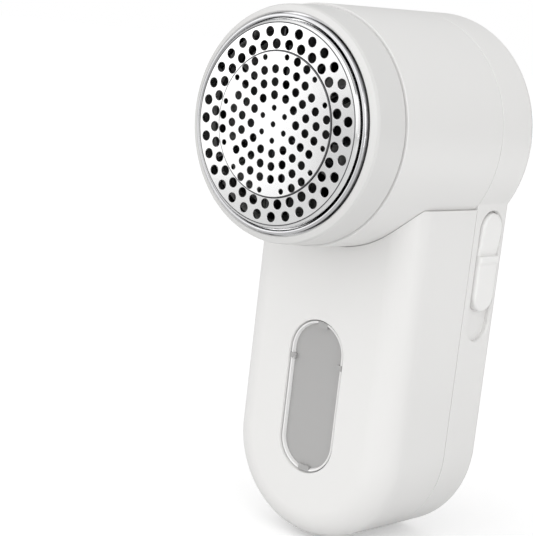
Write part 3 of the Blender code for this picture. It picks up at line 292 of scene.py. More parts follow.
def shaped(base, steps, smooth_angle=SMOOTH_ANGLE):
    """A mesh after a row of joins and cuts, each given as (operation, mesh)."""
    work = bpy.data.objects.new("work", base)
    bpy.context.scene.collection.objects.link(work)
    tools = []
    for operation, mesh in steps:
        tool = bpy.data.objects.new("tool", mesh)
        bpy.context.scene.collection.objects.link(tool)
        change = work.modifiers.new("change", "BOOLEAN")
        change.operation = operation
        change.solver = "EXACT"
        change.object = tool
        tools.append(tool)
    graph = bpy.context.evaluated_depsgraph_get()
    result = bpy.data.meshes.new_from_object(work.evaluated_get(graph), depsgraph=graph)
    for thing in [work] + tools:
        bpy.data.objects.remove(thing)
    result.name = base.name
    result.shade_smooth()
    result.set_sharp_from_angle(angle=math.radians(smooth_angle))
    return result


def paint(name, finish, chosen):
    """Give a second material to the faces of a piece that the test picks by their centre."""
    mesh = bpy.data.objects[name].data
    mesh.materials.append(finish)
    for face in mesh.polygons:
        if chosen(face.center):
            face.material_index = 1


JOIN, CUT = "UNION", "DIFFERENCE"


# Outlines of the case.
def round_end(y, half):
    angles = [math.pi + math.pi * i / END_STEPS for i in range(END_STEPS + 1)]
    return [(half * math.cos(a), y, -HANDLE_DROP + half * math.sin(a)) for a in angles]


def keyhole(y, inset, steps=192):
    """Section of the case: the barrel's circle with the handle hanging from it."""
    radius = barrel_radius(y) - inset
    half = handle_half(y) - inset
    start = -math.asin(math.sqrt(radius ** 2 - half ** 2) / radius)
    sweep = math.pi - 2 * start
    points = [(radius * math.cos(start + sweep * i / steps), y, radius * math.sin(start + sweep * i / steps))
              for i in range(steps + 1)]
    return points + round_end(y, half)


def handle(y, inset, top=0.0):
    """Section of the handle alone, flat at the given height."""
    half = handle_half(y) - inset
    return [(half, y, top), (-half, y, top)] + round_end(y, half)


def handle_loops(corners, top=0.0, steps=5):
    """Handle sections through (inset, y, radius) corners."""
    return [handle(y, inset, top) for inset, y in rounded(corners, steps)]


# Case.
def make_housing(finish):
    """Barrel with the ring's neck, motor tower, and the wall between bin and battery."""
    rear_y = SEAM_Y - SEAM / 2
    inner_y = BARREL_FRONT_Y + WALL
    profile = rounded([
        (NECK_INNER, NECK_FRONT_Y, 0), (NECK_OUTER, NECK_FRONT_Y, 0.2 * MM), (NECK_OUTER, BARREL_FRONT_Y, 0),
        (barrel_radius(BARREL_FRONT_Y), BARREL_FRONT_Y, 0.2 * MM), (barrel_radius(rear_y), rear_y, SOFT_EDGE),
        (barrel_radius(rear_y) - WALL, rear_y, 0), (barrel_radius(inner_y) - WALL, inner_y, 0),
        (NECK_INNER, inner_y, 0)])
    rib_y = PLATE_REAR_Y - PLATE / 2
    shoulder_corners = [(0, rear_y, SOFT_EDGE), (0, HANDLE_FRONT_Y, FRONT_FILLET),
                        (FLAT_INSET, HANDLE_FRONT_Y, 0), (FLAT_INSET, rear_y, 0)]
    below = block("below", REACH_LOW, (*REACH_HIGH[:2], SHOULDER_Z))
    shoulder = shaped(loft("shoulder", handle_loops(shoulder_corners, -5 * MM, 16)), [(CUT, below)])
    steps = [(JOIN, shoulder),
             (JOIN, loft("wall", [keyhole(PLATE_FRONT_Y, WALL + GAP), keyhole(PLATE_REAR_Y, WALL + GAP)])),
             (JOIN, along("y", "wall_disc", circle((0, 0), BARREL_RADIUS - WALL / 2, ROUND), PLATE_FRONT_Y,
                          PLATE_REAR_Y)),
             (JOIN, battery_rim_mesh()),
             (JOIN, turned("tower", [(0, TOWER_FRONT_Y), (TOWER_OUTER, TOWER_FRONT_Y), (TOWER_OUTER, rib_y),
                                     (0, rib_y)], 96))]
    for place in SCREWS:
        outline = circle((place.x, place.z), SCREW_BOSS, 32)
        steps.append((JOIN, along("y", "boss", outline, rib_y, BOSS_END_Y)))
    cell = (cell_low + cell_high) / 2
    cell_radius = (cell_high.x - cell_low.x) / 2
    from_end, half_width, half_rib = 9 * MM, 6 * MM, 0.8 * MM
    for z in (cell_high.z - from_end, cell_low.z + from_end):
        steps.append((JOIN, block("cradle", (cell.x - half_width, rib_y, z - half_rib),
                                  (cell.x + half_width, cell.y - 1 * MM, z + half_rib))))
    steps.append((CUT, along("z", "cell_room", circle((cell.x, cell.y), cell_radius + GAP, 48),
                             cell_low.z - GAP, cell_high.z + GAP)))
    room_y = TOWER_FRONT_Y + TOWER_WALL
    steps.append((CUT, turned("motor_room", [(0, room_y), (TOWER_INNER, room_y), (TOWER_INNER, SEAM_Y),
                                             (0, SEAM_Y)], 96)))
    front = (TOWER_FRONT_Y - 1 * MM, room_y + 1 * MM)
    steps.append((CUT, along("y", "shaft_hole", circle((0, 0), SHAFT_HOLE, 32), *front)))
    for side in (-1, 1):
        outline = circle((side * MOTOR_SCREW_X, 0), MOTOR_SCREW_HOLE, 24)
        steps.append((CUT, along("y", "screw_hole", outline, *front)))
    for place in SCREWS:
        steps.append((CUT, along("y", "pilot", circle((place.x, place.z), PILOT, 24),
                                 PLATE_REAR_Y + 0.6 * MM, 0)))
    outlet_low = (-OUTLET_HALF, HANDLE_FRONT_Y + WALL + 1 * MM, -BARREL_RADIUS - 2 * MM)
    outlet_high = (OUTLET_HALF, BIN_BACK_Y - BIN_BACK - 0.8 * MM, -TOWER_OUTER - 3 * MM)
    steps.append((CUT, block("outlet", outlet_low, outlet_high)))
    add_piece("barrel_housing", shaped(turned("barrel_housing", profile), steps), "case", finish,
              "front_housing", slot="white_plastic")


def battery_rim_mesh():
    """Rim on the wall's rear face, which enters the rear cover."""
    rear_y = SEAM_Y + RIM_OVERLAP
    start_y = PLATE_REAR_Y - PLATE / 2
    loops = [keyhole(start_y, TRAY_INSET), keyhole(rear_y, TRAY_INSET),
             keyhole(rear_y, TRAY_INSET + RIM_WALL), keyhole(start_y, TRAY_INSET + RIM_WALL)]
    bm = bmesh.new()
    rings = [[bm.verts.new(point) for point in loop] for loop in loops]
    for near, far in zip(rings, rings[1:] + rings[:1]):
        for i in range(len(near)):
            j = (i + 1) % len(near)
            bm.faces.new((near[i], near[j], far[j], far[i]))
    return close_mesh(bm, "battery_rim")


def make_rear_cover(finish):
    """Tray with the flat back, screw tubes, motor stop and the switch's pocket."""
    front_y = SEAM_Y + SEAM / 2
    corners = [(WALL, front_y, 0), (0, front_y, SOFT_EDGE), (0, 0, BACK_FILLET), (BACK_FILLET + 1 * MM, 0, 0)]
    loops = [keyhole(-WALL, BACK_FILLET), keyhole(-BACK_FILLET, WALL)]
    loops += [keyhole(y, inset) for inset, y in rounded(corners, 12)]
    steps = []
    for place in SCREWS:
        outline = circle((place.x, place.z), CASE_BOSS, 32)
        steps.append((JOIN, along("y", "tube", outline, TUBE_END_Y, -WALL / 2)))
    stop = MOTOR_RADIUS - 1 * MM
    stop_inner = stop - 1.6 * MM
    stop_y = cap_high.y + GAP
    steps.append((JOIN, turned("motor_stop", [(stop_inner, stop_y), (stop, stop_y), (stop, -WALL / 2),
                                              (stop_inner, -WALL / 2)], 64)))
    for z in (switch_low.z - GAP - SWITCH_RIB, switch_high.z + GAP):
        steps.append((JOIN, block("switch_rib", (switch_low.x, switch_low.y, z),
                                  (SIDE_X - WALL / 2, -WALL / 2, z + SWITCH_RIB))))
    way_half = 6.5 * MM
    steps.append((CUT, block("lead_way", (-way_half, cap_high.y - 1 * MM, -stop - 1 * MM),
                             (way_half, -WALL, -4 * MM))))
    for place in SCREWS:
        mouth = SCREW_SEAT + 0.25 * MM
        seat = [(0, -SEAT_DEPTH), (SCREW_SEAT, -SEAT_DEPTH), (SCREW_SEAT, 0),
                (mouth, 0.2 * MM), (mouth, 1 * MM), (0, 1 * MM)]
        mesh = turned("seat", seat, 48)
        mesh.transform(Matrix.Translation((place.x, 0, place.z)))
        steps.append((CUT, mesh))
        steps.append((CUT, along("y", "shank_way", circle((place.x, place.z), PILOT, 24), -10 * MM, -1 * MM)))
    steps.append((CUT, pocket_mesh()))
    stem = PRONG_REACH + GAP
    stem_half = 1.6 * MM
    stem_low = (SIDE_X - WALL - 2 * MM, KNOB_Y - stem_half, KNOB_Z - KNOB_TRAVEL - stem)
    stem_high = (SIDE_X + 1 * MM, KNOB_Y + stem_half, KNOB_Z + stem)
    steps.append((CUT, block("stem_way", stem_low, stem_high)))
    socket = (socket_low + socket_high) / 2
    half = (socket_high - socket_low) / 2
    opening = round_box((socket.x, socket.y), half.x + GAP, half.y + GAP, 1.0 * MM)
    under = -HANDLE_DROP - handle_half(0) - 2 * MM
    steps.append((CUT, along("z", "socket_way", opening, under, socket_high.z + 1 * MM)))
    add_piece("rear_cover_shell", shaped(loft("rear_cover_shell", loops), steps), "case", finish,
              "rear_cover", slot="white_plastic")


def round_box(centre, half_a, half_b, radius):
    """A rectangle's outline with round corners."""
    corners = [(half_a, half_b, radius), (-half_a, half_b, radius), (-half_a, -half_b, radius),
               (half_a, -half_b, radius)]
    return [(centre[0] + a, centre[1] + b) for a, b in rounded(corners)]


def pocket_mesh():
    """The switch's pocket, a little wider at the mouth."""
    centre = (KNOB_Y, POCKET_TOP - POCKET_LENGTH / 2)
    flare = 0.35 * MM
    sections = [(0, POCKET_FLOOR_X), (0, SIDE_X - flare), (flare, SIDE_X + 0.15 * MM),
                (flare, SIDE_X + 3 * MM)]
    loops = [[(x, y, z) for y, z in slot(centre, POCKET_HALF + grow, POCKET_LENGTH + 2 * grow)]
             for grow, x in sections]
    return loft("pocket", loops)


def make_bin(finish):
    """Front of the handle: a scoop that slides down, with the window's opening in its front."""
    rear_y = SEAM_Y - SEAM
    outer = handle_loops([(8 * MM, rear_y, 0), (0, rear_y, SOFT_EDGE), (0, HANDLE_FRONT_Y, FRONT_FILLET),
                          (FLAT_INSET, HANDLE_FRONT_Y, 0)], 0, 20)
    ends = (1 * MM, BARREL_FRONT_Y - 1 * MM)
    room = [(0, ends[0])] + [(barrel_radius(y) + SEAM, y) for y in ends] + [(0, ends[1])]
    top = SHOULDER_Z - SEAM
    front_inner_y = HANDLE_FRONT_Y + WALL
    inner_fillet = FRONT_FILLET - WALL
    lint_room = handle_loops([(WALL, BIN_BACK_Y - BIN_BACK, 0), (WALL, front_inner_y, inner_fillet),
                              (FLAT_INSET, front_inner_y, 0)], 0, 10)
    steps = [(CUT, turned("barrel_room", room)),
             (CUT, block("top_room", (*REACH_LOW[:2], top), REACH_HIGH)),
             (CUT, loft("lint_room", lint_room)),
             (CUT, loft("rear_room", [handle(BIN_BACK_Y, WALL), handle(0, WALL)]))]
    flare = 0.35 * MM
    sections = [(flare, HANDLE_FRONT_Y - 1 * MM), (flare, HANDLE_FRONT_Y - 0.2 * MM),
                (0.05 * MM, HANDLE_FRONT_Y + 0.45 * MM), (0, front_inner_y + 1 * MM)]
    loops = [[(x, y, z) for x, z in slot((0, WINDOW_Z), WINDOW_HALF + grow, WINDOW_LENGTH + 2 * grow, 40)]
             for grow, y in sections]
    steps.append((CUT, loft("window_way", loops)))
    rail_inner = HANDLE_HALF - WALL - GAP - RAIL_LIP + 0.1 * MM
    for side in (-1, 1):
        low, high = sorted((side * rail_inner, side * (HANDLE_HALF - WALL / 2)))
        steps.append((JOIN, block("rail", (low, PLATE_REAR_Y + GAP, -HANDLE_DROP + 2 * MM),
                                  (high, BIN_REAR_Y, SHOULDER_Z - 4 * MM))))
    add_piece("lint_bin_shell", shaped(loft("lint_bin_shell", outer), steps), "bin", finish,
              "lint_bin", slot="white_plastic")


def make_window(finish, edge_highlight_finish):
    """Clear insert, set back inside a bevelled edge painted bright as a highlight, which four small snap tabs
    interrupt.
    """
    front_inner_y = HANDLE_FRONT_Y + WALL
    edge = WINDOW_HALF - SEAM
    length = WINDOW_LENGTH - 2 * SEAM
    pane_y = HANDLE_FRONT_Y + 1.15 * MM
    flange_front = front_inner_y + 0.1 * MM
    flange_rear = front_inner_y + 0.9 * MM
    sections = [(-0.75 * MM, pane_y), (-0.5 * MM, HANDLE_FRONT_Y + 0.42 * MM),
                (-0.22 * MM, HANDLE_FRONT_Y + 0.3 * MM), (0, HANDLE_FRONT_Y + 0.5 * MM), (0, flange_front),
                (WINDOW_FLANGE, flange_front), (WINDOW_FLANGE, flange_rear),
                (-1.0 * MM, flange_rear), (-1.0 * MM, pane_y + 0.55 * MM)]
    loops = [[(x, y, z) for x, z in slot((0, WINDOW_Z), edge + grow, length + 2 * grow, 40)]
             for grow, y in sections]
    end = length / 2
    inside = 1.5 * MM
    side_low, side_high = WINDOW_Z + 8.0 * MM, WINDOW_Z + 9.3 * MM
    tabs = [(-edge + 0.02 * MM, -edge + inside, side_low, side_high),
            (edge - inside, edge - 0.02 * MM, side_low, side_high),
            (-0.6 * MM, 2.2 * MM, WINDOW_Z + end - inside, WINDOW_Z + end - 0.1 * MM),
            (-1.5 * MM, 1.6 * MM, WINDOW_Z - end + 0.1 * MM, WINDOW_Z - end + inside)]
    joins = []
    for low_x, high_x, low_z, high_z in tabs:
        joins.append((JOIN, block("tab", (low_x, HANDLE_FRONT_Y + 0.26 * MM, low_z),
                                  (high_x, HANDLE_FRONT_Y + 1.4 * MM, high_z))))
    add_piece("window_insert", shaped(loft("window_insert", loops), joins), "bin", finish,
              "bin_window", slot="clear_plastic")

    # Faces of the bevel, outside the tabs, that take the painted highlight.
    def on_lit_bevel(centre):
        near = 0.01 * MM
        if centre.y > pane_y - 3 * near:
            return False
        for low_x, high_x, low_z, high_z in tabs:
            if low_x - near < centre.x < high_x + near and low_z - near < centre.z < high_z + near:
                return False
        return True

    paint("window_insert", edge_highlight_finish, on_lit_bevel)


# Cutting head.
def make_ring(finish):
    """Locking ring, with the crease round its front and the lugs inside."""
    front_y = ring_low.y
    taper = 0.5 * MM
    lip = RING_BORE - 0.7 * MM
    seat_y = rim_low.y + 1.5 * MM
    corners = [(RING_BORE, ring_high.y, 0), (RING_OUTER, ring_high.y, 0.15 * MM),
               (RING_OUTER - taper, front_y + 1.5 * MM, 0.5 * MM),
               (RING_OUTER - taper - 0.3 * MM, front_y + 0.7 * MM, 0.25 * MM),
               (lip + 0.35 * MM, front_y, 0.2 * MM), (lip, front_y + 0.25 * MM, 0.1 * MM),
               (lip, seat_y, 0), (RING_BORE, seat_y, 0)]
    lugs = []
    lug_span = math.radians(14)
    lug_steps = 6
    root, tip = RING_BORE + 0.5 * MM, NECK_OUTER - 0.8 * MM
    for i in range(3):
        start = math.pi / 2 + math.tau * i / 3 - lug_span / 2
        angles = [start + lug_span * k / lug_steps for k in range(lug_steps + 1)]
        outline = [(root * math.cos(a), root * math.sin(a)) for a in angles]
        outline += [(tip * math.cos(a), tip * math.sin(a)) for a in reversed(angles)]
        lugs.append((JOIN, along("y", "lug", outline, BARREL_FRONT_Y - 3.3 * MM, BARREL_FRONT_Y - 1.8 * MM)))
    add_piece("lock_ring", shaped(turned("lock_ring", rounded(corners)), lugs), "head_cap", finish,
              "locking_ring", slot="white_plastic")


def make_rim(finish):
    """Chrome rim with a rounded bead and a groove inside it."""
    front_y = rim_low.y
    flange_y = rim_high.y - 0.4 * MM
    corners = [(RIM_INNER, rim_high.y, 0), (RIM_FLANGE, rim_high.y, 0), (RIM_FLANGE, flange_y, 0),
               (RIM_OUTER, flange_y, 0), (RIM_OUTER, front_y, 0.4 * MM),
               (RIM_INNER + 0.25 * MM, front_y + 0.05 * MM, 0.18 * MM),
               (RIM_INNER, front_y + 0.5 * MM, 0.1 * MM)]
    add_piece("chrome_rim", turned("chrome_rim", rounded(corners, 6), 288), "head_cap", finish,
              "foil_rim", slot="chrome_rim")


def foil_holes():
    """Centres and diameters of the foil's holes, as (x, z, diameter)."""
    small, inner, outer = 1.25 * MM, 1.9 * MM, 2.25 * MM
    holes = [(0.0, 0.0, small)]
    turns = (33, 4.6, 14.7, 5.0, -1.1)      # degrees by which each ring of the disc is turned
    last = len(turns)
    for k, turn in enumerate(turns, 1):
        radius = 3.6 * MM + 2.82 * MM * (k - 1)
        for i in range(6 * k):
            place = i % k
            if k == last and place == 3:
                continue
            diameter = small if k == 1 or (k == last and place in (2, 4)) else inner
            angle = math.radians(turn) + math.tau * i / (6 * k)
            holes.append((radius * math.cos(angle), radius * math.sin(angle), diameter))
    count = 31
    for row in (0, 1):
        radius = FOIL_FLAT - 1.85 * MM - row * 2.8 * MM
        for i in range(count):
            angle = math.radians(90) + math.tau * (i + row / 2) / count
            holes.append((radius * math.cos(angle), radius * math.sin(angle), outer))
    return holes


def make_foil(finish, groove_shade_finish):
    """Thin steel cap with a raised disc, a fine groove at each step, and round holes with soft edges; darker
    steel in and beside the grooves is painted shade.
    """
    sheet = 0.3 * MM
    flange_y = foil_high.y
    groove = 0.1 * MM
    flat_y = FOIL_Y + OUTER_FALL
    face = [(DISC_RADIUS - 0.25 * MM, DISC_Y), (DISC_RADIUS - 0.05 * MM, DISC_Y + 0.08 * MM),
            (DISC_RADIUS, FOIL_Y + groove), (DISC_RADIUS + 0.15 * MM, FOIL_Y),
            (FOIL_FLAT - 0.15 * MM, flat_y),
            (FOIL_FLAT, flat_y + groove), (FOIL_FLAT + 0.12 * MM, flat_y + 0.03 * MM),
            (FOIL_OUTER - 0.2 * MM, FOIL_Y + 0.5 * MM), (FOIL_OUTER, FOIL_Y + 0.95 * MM),
            (FOIL_OUTER, flange_y - sheet), (RIM_OUTER, flange_y - sheet), (RIM_OUTER, flange_y),
            (FOIL_OUTER - sheet, flange_y), (FOIL_OUTER - sheet, FOIL_Y + 1.1 * MM),
            (FOIL_FLAT - 0.1 * MM, flat_y + sheet + groove), (DISC_RADIUS, FOIL_Y + sheet + groove),
            (DISC_RADIUS - 0.25 * MM, DISC_Y + sheet)]
    loops = [[(x, y, z) for x, z in circle((0, 0), radius, 288)] for radius, y in face]
    bm = bmesh.new()
    for x, z, diameter in foil_holes():
        reach = math.hypot(x, z) - DISC_RADIUS
        surface = DISC_Y if reach < 0 else FOIL_Y + OUTER_FALL * reach / (FOIL_FLAT - DISC_RADIUS)
        levels = [(0.16 * MM, surface - 0.5 * MM), (0.1 * MM, surface), (0.03 * MM, surface + 0.04 * MM),
                  (0, surface + 0.12 * MM), (0, surface + 1 * MM)]
        rings = []
        for grow, y in levels:
            outline = circle((x, z), diameter / 2 + grow, HOLE_SIDES)
            rings.append([bm.verts.new((a, y, b)) for a, b in outline])
        bm.faces.new(rings[0])
        bm.faces.new(rings[-1][::-1])
        for near, far in zip(rings, rings[1:]):
            for i in range(HOLE_SIDES):
                j = (i + 1) % HOLE_SIDES
                bm.faces.new((near[j], near[i], far[i], far[j]))
    holes = close_mesh(bm, "foil_holes")
    add_piece("foil_sheet", shaped(loft("foil_sheet", loops), [(CUT, holes)], 12), "head_cap", finish,
              "foil", slot="foil_steel")

    # Faces in and beside the two grooves take the darker steel: painted shade for the shadow in the grooves.
    def in_painted_groove_shade(centre):
        reach = math.hypot(centre.x, centre.z)
        return (-0.2 * MM < reach - DISC_RADIUS < 0.15 * MM) or abs(reach - FOIL_FLAT) < 0.14 * MM

    paint("foil_sheet", groove_shade_finish, in_painted_groove_shade)


# Switch.
def make_knob(finish):
    """Slide button: two finger pads with a cross ridge between them, and its two prongs."""
    crown = knob_high.x
    base = POCKET_FLOOR_X + 0.1 * MM
    edge = 0.7 * MM
    insets = [0, 0.05 * MM, 0.15 * MM, 0.3 * MM, 0.5 * MM, edge, 1.2 * MM, 2.2 * MM, 3.2 * MM, KNOB_HALF]
    side_steps = 96
    foot = slot((KNOB_Y, KNOB_Z), KNOB_HALF, KNOB_LENGTH, 24, side_steps)
    loops = [[(base, y, z) for y, z in foot]]
    for inset in insets:
        drop = edge - math.sqrt(max(0.0, edge ** 2 - max(0.0, edge - inset) ** 2))
        outline = slot((KNOB_Y, KNOB_Z), KNOB_HALF - inset, KNOB_LENGTH - 2 * inset, 24, side_steps)
        loops.append([(crown - knob_dip(z) - drop, y, z) for y, z in outline])
    prongs = []
    prong_half = 1.2 * MM
    inner_reach = 1.5 * MM
    for low, high in ((inner_reach, PRONG_REACH), (-PRONG_REACH, -inner_reach)):
        prongs.append((JOIN, block("prong", (knob_low.x, KNOB_Y - prong_half, KNOB_Z + low),
                                   (base + 0.5 * MM, KNOB_Y + prong_half, KNOB_Z + high))))
    add_piece("slide_button", shaped(loft("slide_button", loops, cap_end=False), prongs), "switch", finish,
              "switch_knob", slot="knob_plastic")


def knob_dip(z):
    """How far the button's face lies under its crown at height z: a scooped pad, a crest, a level pad."""
    along_knob = (knob_high.z - z) / KNOB_LENGTH
    crest_start, crest_end = 0.43, 0.49
    if along_knob < crest_start:
        return 0.35 * MM + 0.75 * MM * (along_knob / crest_start) ** 3
    if along_knob < crest_end:
        return 0.0
    return 0.32 * MM * min(1.0, (along_knob - crest_end) / 0.03)


def make_screw(index, finish):
    """Case screw with a domed head and a cross recess."""
    low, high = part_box(f"case_screw_{index}")
    centre = (low + high) / 2
    head = (high.x - low.x) / 2
    seat_y = high.y - 1.8 * MM
    crest, root = 1.05 * MM, 0.85 * MM
    profile = rounded([(0, high.y, 0), (head * 0.5, high.y, 0.4 * MM), (head, high.y - 0.6 * MM, 0.3 * MM),
                       (head, seat_y, 0.1 * MM), (crest, seat_y, 0)])
    thread = []
    pitch = 0.9 * MM
    y = seat_y - 0.8 * MM
    while y > low.y + 1.2 * MM:
        thread += [(root, y), (crest, y - pitch / 2)]
        y -= pitch
    mesh = turned("case_screw", profile + thread + [(0.6 * MM, low.y + 0.5 * MM), (0, low.y)], 40)
    arm, half_width = 1.25 * MM, 0.25 * MM
    cross = [(CUT, block("cross", (-a, high.y - 0.9 * MM, -b), (a, high.y + 1 * MM, b)))
             for a, b in ((arm, half_width), (half_width, arm))]
    mesh = shaped(mesh, cross)
    as_tightened = math.radians(20 + 33 * index)
    mesh.transform(Matrix.Rotation(as_tightened, 4, "Y"))
    mesh.transform(Matrix.Translation((centre.x, 0, centre.z)))
    add_piece(f"cross_screw_{index}", mesh, "case", finish, f"case_screw_{index}", slot="nickel_plate")


# Materials.
EVEN = (1, 1, 1)                # grain that is the same along every axis


def shader_of(material):
    return material.node_tree.nodes["Principled BSDF"]


def new_material(name, colour, roughness, metallic=0.0):
    made = bpy.data.materials.new(name)
    made.use_nodes = True
    shader = shader_of(made)
    shader.inputs["Base Color"].default_value = (*colour, 1)
    shader.inputs["Roughness"].default_value = roughness
    shader.inputs["Metallic"].default_value = metallic
    return made


def noise(tree, scale, stretch=EVEN):
    """Noise in the object's own coordinates."""
    place = tree.nodes.new("ShaderNodeTexCoord")
    mapping = tree.nodes.new("ShaderNodeMapping")
    mapping.inputs["Scale"].default_value = stretch
    texture = tree.nodes.new("ShaderNodeTexNoise")
    texture.inputs["Scale"].default_value = scale
    texture.inputs["Detail"].default_value = 2
    tree.links.new(place.outputs["Object"], mapping.inputs["Vector"])
    tree.links.new(mapping.outputs["Vector"], texture.inputs["Vector"])
    return texture.outputs["Fac"]


def spread(tree, value, low, high):
    """Map noise to a range."""
    node = tree.nodes.new("ShaderNodeMapRange")
    node.inputs["To Min"].default_value = low
    node.inputs["To Max"].default_value = high
    tree.links.new(value, node.inputs["Value"])
    return node.outputs["Result"]


def tint(tree, value, first, second):
    """Mix two colours by noise."""
    ramp = tree.nodes.new("ShaderNodeValToRGB")
    ramp.color_ramp.elements[0].color = (*first, 1)
    ramp.color_ramp.elements[1].color = (*second, 1)
    tree.links.new(value, ramp.inputs["Fac"])
    return ramp.outputs["Color"]


def bump(tree, value, strength, distance):
    node = tree.nodes.new("ShaderNodeBump")
    node.inputs["Strength"].default_value = strength
    node.inputs["Distance"].default_value = distance
    tree.links.new(value, node.inputs["Height"])
    return node.outputs["Normal"]


def finish_surface(material, colour_pair, rough, grain):
    """Give a material its colour variation, roughness variation and grain.

    The grain is the noise's scale, its strength, its depth and how much it is squeezed along each axis.
    """
    tree = material.node_tree
    shader = shader_of(material)
    scale, strength, distance, stretch = grain
    tree.links.new(tint(tree, noise(tree, 45), *colour_pair), shader.inputs["Base Color"])
    tree.links.new(spread(tree, noise(tree, 90), *rough), shader.inputs["Roughness"])
    tree.links.new(bump(tree, noise(tree, scale, stretch), strength, distance), shader.inputs["Normal"])
    return material


def plastic(name, colour, rough=(0.27, 0.30)):
    """Moulded plastic with a fine skin and slightly uneven gloss."""
    made = new_material(name, colour, 0.3)
    darker = tuple(0.992 * c for c in colour)
    finish_surface(made, (darker, colour), rough, (1500, 0.04, 0.01 * MM, EVEN))
    shader_of(made).inputs["IOR"].default_value = 1.5
    return made


def metal(name, colour, rough, scale, strength, depth=0.02 * MM, stretch=EVEN):
    """Bare or plated metal with a fine grain."""
    made = new_material(name, colour, 0.2, 1.0)
    darker = tuple(0.95 * c for c in colour)
    return finish_surface(made, (darker, colour), rough, (scale, strength, depth, stretch))


white = plastic("white_case", (0.74, 0.735, 0.725))
bin_white = plastic("white_bin", (0.74, 0.735, 0.725))
ring_white = plastic("white_ring", (0.66, 0.657, 0.648))
knob_white = plastic("white_knob", (0.80, 0.796, 0.785))
# The installed blade carrier is coloured near black: painted shade for the dark inside of the head seen
# through the foil's holes, not the carrier's own white plastic.
carrier_painted_shade = plastic("carrier", (0.012, 0.012, 0.012), (0.5, 0.6))
black = plastic("black_part", (0.03, 0.03, 0.03), (0.35, 0.5))
wrap = plastic("cell_wrap_film", (0.05, 0.16, 0.42), (0.25, 0.4))
board = plastic("board_lacquer", (0.03, 0.2, 0.09), (0.3, 0.45))
red = plastic("lead_red", (0.5, 0.03, 0.03), (0.35, 0.5))
dark_lead = plastic("lead_black", (0.02, 0.02, 0.02), (0.35, 0.5))
steel = metal("foil_polish", (0.80, 0.80, 0.80), (0.1, 0.16), 900, 0.05)
# Steel of the blades and motor shaft coloured near black: painted shade for the shadowed inside of the head
# behind the foil's holes.
dark_steel_painted_shade = metal("steel_painted_shade", (0.05, 0.05, 0.052), (0.2, 0.35), 700, 0.2, stretch=(1, 8, 1))
chrome = metal("rim_chrome", (0.60, 0.60, 0.61), (0.03, 0.06), 300, 0.02, 0.01 * MM)
zinc = metal("zinc_plating", (0.62, 0.62, 0.60), (0.3, 0.42), 500, 0.1)
nickel = metal("nickel_plating", (0.68, 0.67, 0.63), (0.2, 0.32), 500, 0.1)
brass = metal("brass_sheet", (0.72, 0.53, 0.25), (0.25, 0.4), 500, 0.1)

# The clear plastic is tinted grey and made mostly opaque: painted shade standing for the shaded inside of the
# bin seen through it.
clear = plastic("clear_window", (0.50, 0.495, 0.49), (0.08, 0.14))
shader_of(clear).inputs["Alpha"].default_value = 0.72
# Brighter, opaque copy of the window plastic for its bevel: a painted highlight on the clear edge.
bevel = plastic("clear_window_bevel_highlight", (0.78, 0.775, 0.77), (0.10, 0.16))
# Darker steel for the foil's grooves: painted shade, the shadow that lies in the fine grooves.
groove = metal("foil_groove_painted_shade", (0.15, 0.15, 0.155), (0.3, 0.4), 900, 0.05)

# CAD nodes that stay, with better materials.
KEPT = {
    carrier_painted_shade: ["blade_carrier"],
    dark_steel_painted_shade: [f"blade_{i + 1}" for i in range(6)] + ["motor_shaft"],
    black: ["drive_hub", "charge_chip", "switch_actuator"],
    wrap: ["battery_cell"],
    board: ["charge_board"],
    red: ["lead_switch_motor", "lead_cell_switch"],
    dark_lead: ["lead_board_motor", "lead_cell_board"],
    zinc: ["motor_can", "switch_body"],
    nickel: ["blade_spring", "battery_tab_plus", "battery_tab_minus", "charge_socket", "motor_screw_1",
             "motor_screw_2"],
    brass: ["motor_bush", "motor_terminal_left", "motor_terminal_right"],
    white: ["motor_end_cap"],
}
for finish, names in KEPT.items():
    for name in names:
        for material_slot in frame["nodes"][name].material_slots:
            material_slot.material = finish

make_housing(white)
make_rear_cover(white)
make_bin(bin_white)
make_window(clear, bevel)
make_ring(ring_white)
make_rim(chrome)
make_foil(steel, groove)
make_knob(knob_white)
for screw in (1, 2, 3, 4):
    make_screw(screw, nickel)


# Camera, at the photograph's viewing angle.
CAMERA_PLACE = Vector((0.21106, -0.31440, 0.02197))
CAMERA_AIM = Vector((0.00306, -0.06385, -0.03146))
CAMERA_ROLL = math.radians(6.49)
view = (CAMERA_AIM - CAMERA_PLACE).normalized()
level = view.cross(Vector((0, 0, 1))).normalized()
right = level * math.cos(CAMERA_ROLL) + level.cross(view) * math.sin(CAMERA_ROLL)
camera = bpy.data.objects.new("camera", bpy.data.cameras.new("camera"))
bpy.context.scene.collection.objects.link(camera)
camera.data.lens = 100.39
camera.data.sensor_width = 36
turned_to_view = Matrix((right, right.cross(view), -view)).transposed().to_4x4()
camera.matrix_world = Matrix.Translation(CAMERA_PLACE) @ turned_to_view
bpy.context.scene.camera = camera


# Floor and light.
def show_white(tree, surface, glow):
    """Brighten the floor for the camera alone, so that the object gets only the floor's own bounce."""
    path = tree.nodes.new("ShaderNodeLightPath")
    bright = tree.nodes.new("ShaderNodeEmission")
    bright.inputs["Strength"].default_value = glow
    both = tree.nodes.new("ShaderNodeAddShader")
    choose = tree.nodes.new("ShaderNodeMixShader")
    tree.links.new(surface, both.inputs[0])
    tree.links.new(bright.outputs["Emission"], both.inputs[1])
    tree.links.new(path.outputs["Is Camera Ray"], choose.inputs["Fac"])
    tree.links.new(surface, choose.inputs[1])
    tree.links.new(both.outputs["Shader"], choose.inputs[2])
    tree.links.new(choose.outputs["Shader"], tree.nodes["Material Output"].inputs["Surface"])


# The room's light from each side: the direction's axis, the end of that axis and the strength there.
ROOM = (("Y", -1, 1.42), ("Y", 1, 0.35), ("X", -1, 0.25), ("Z", 1, 0.73))


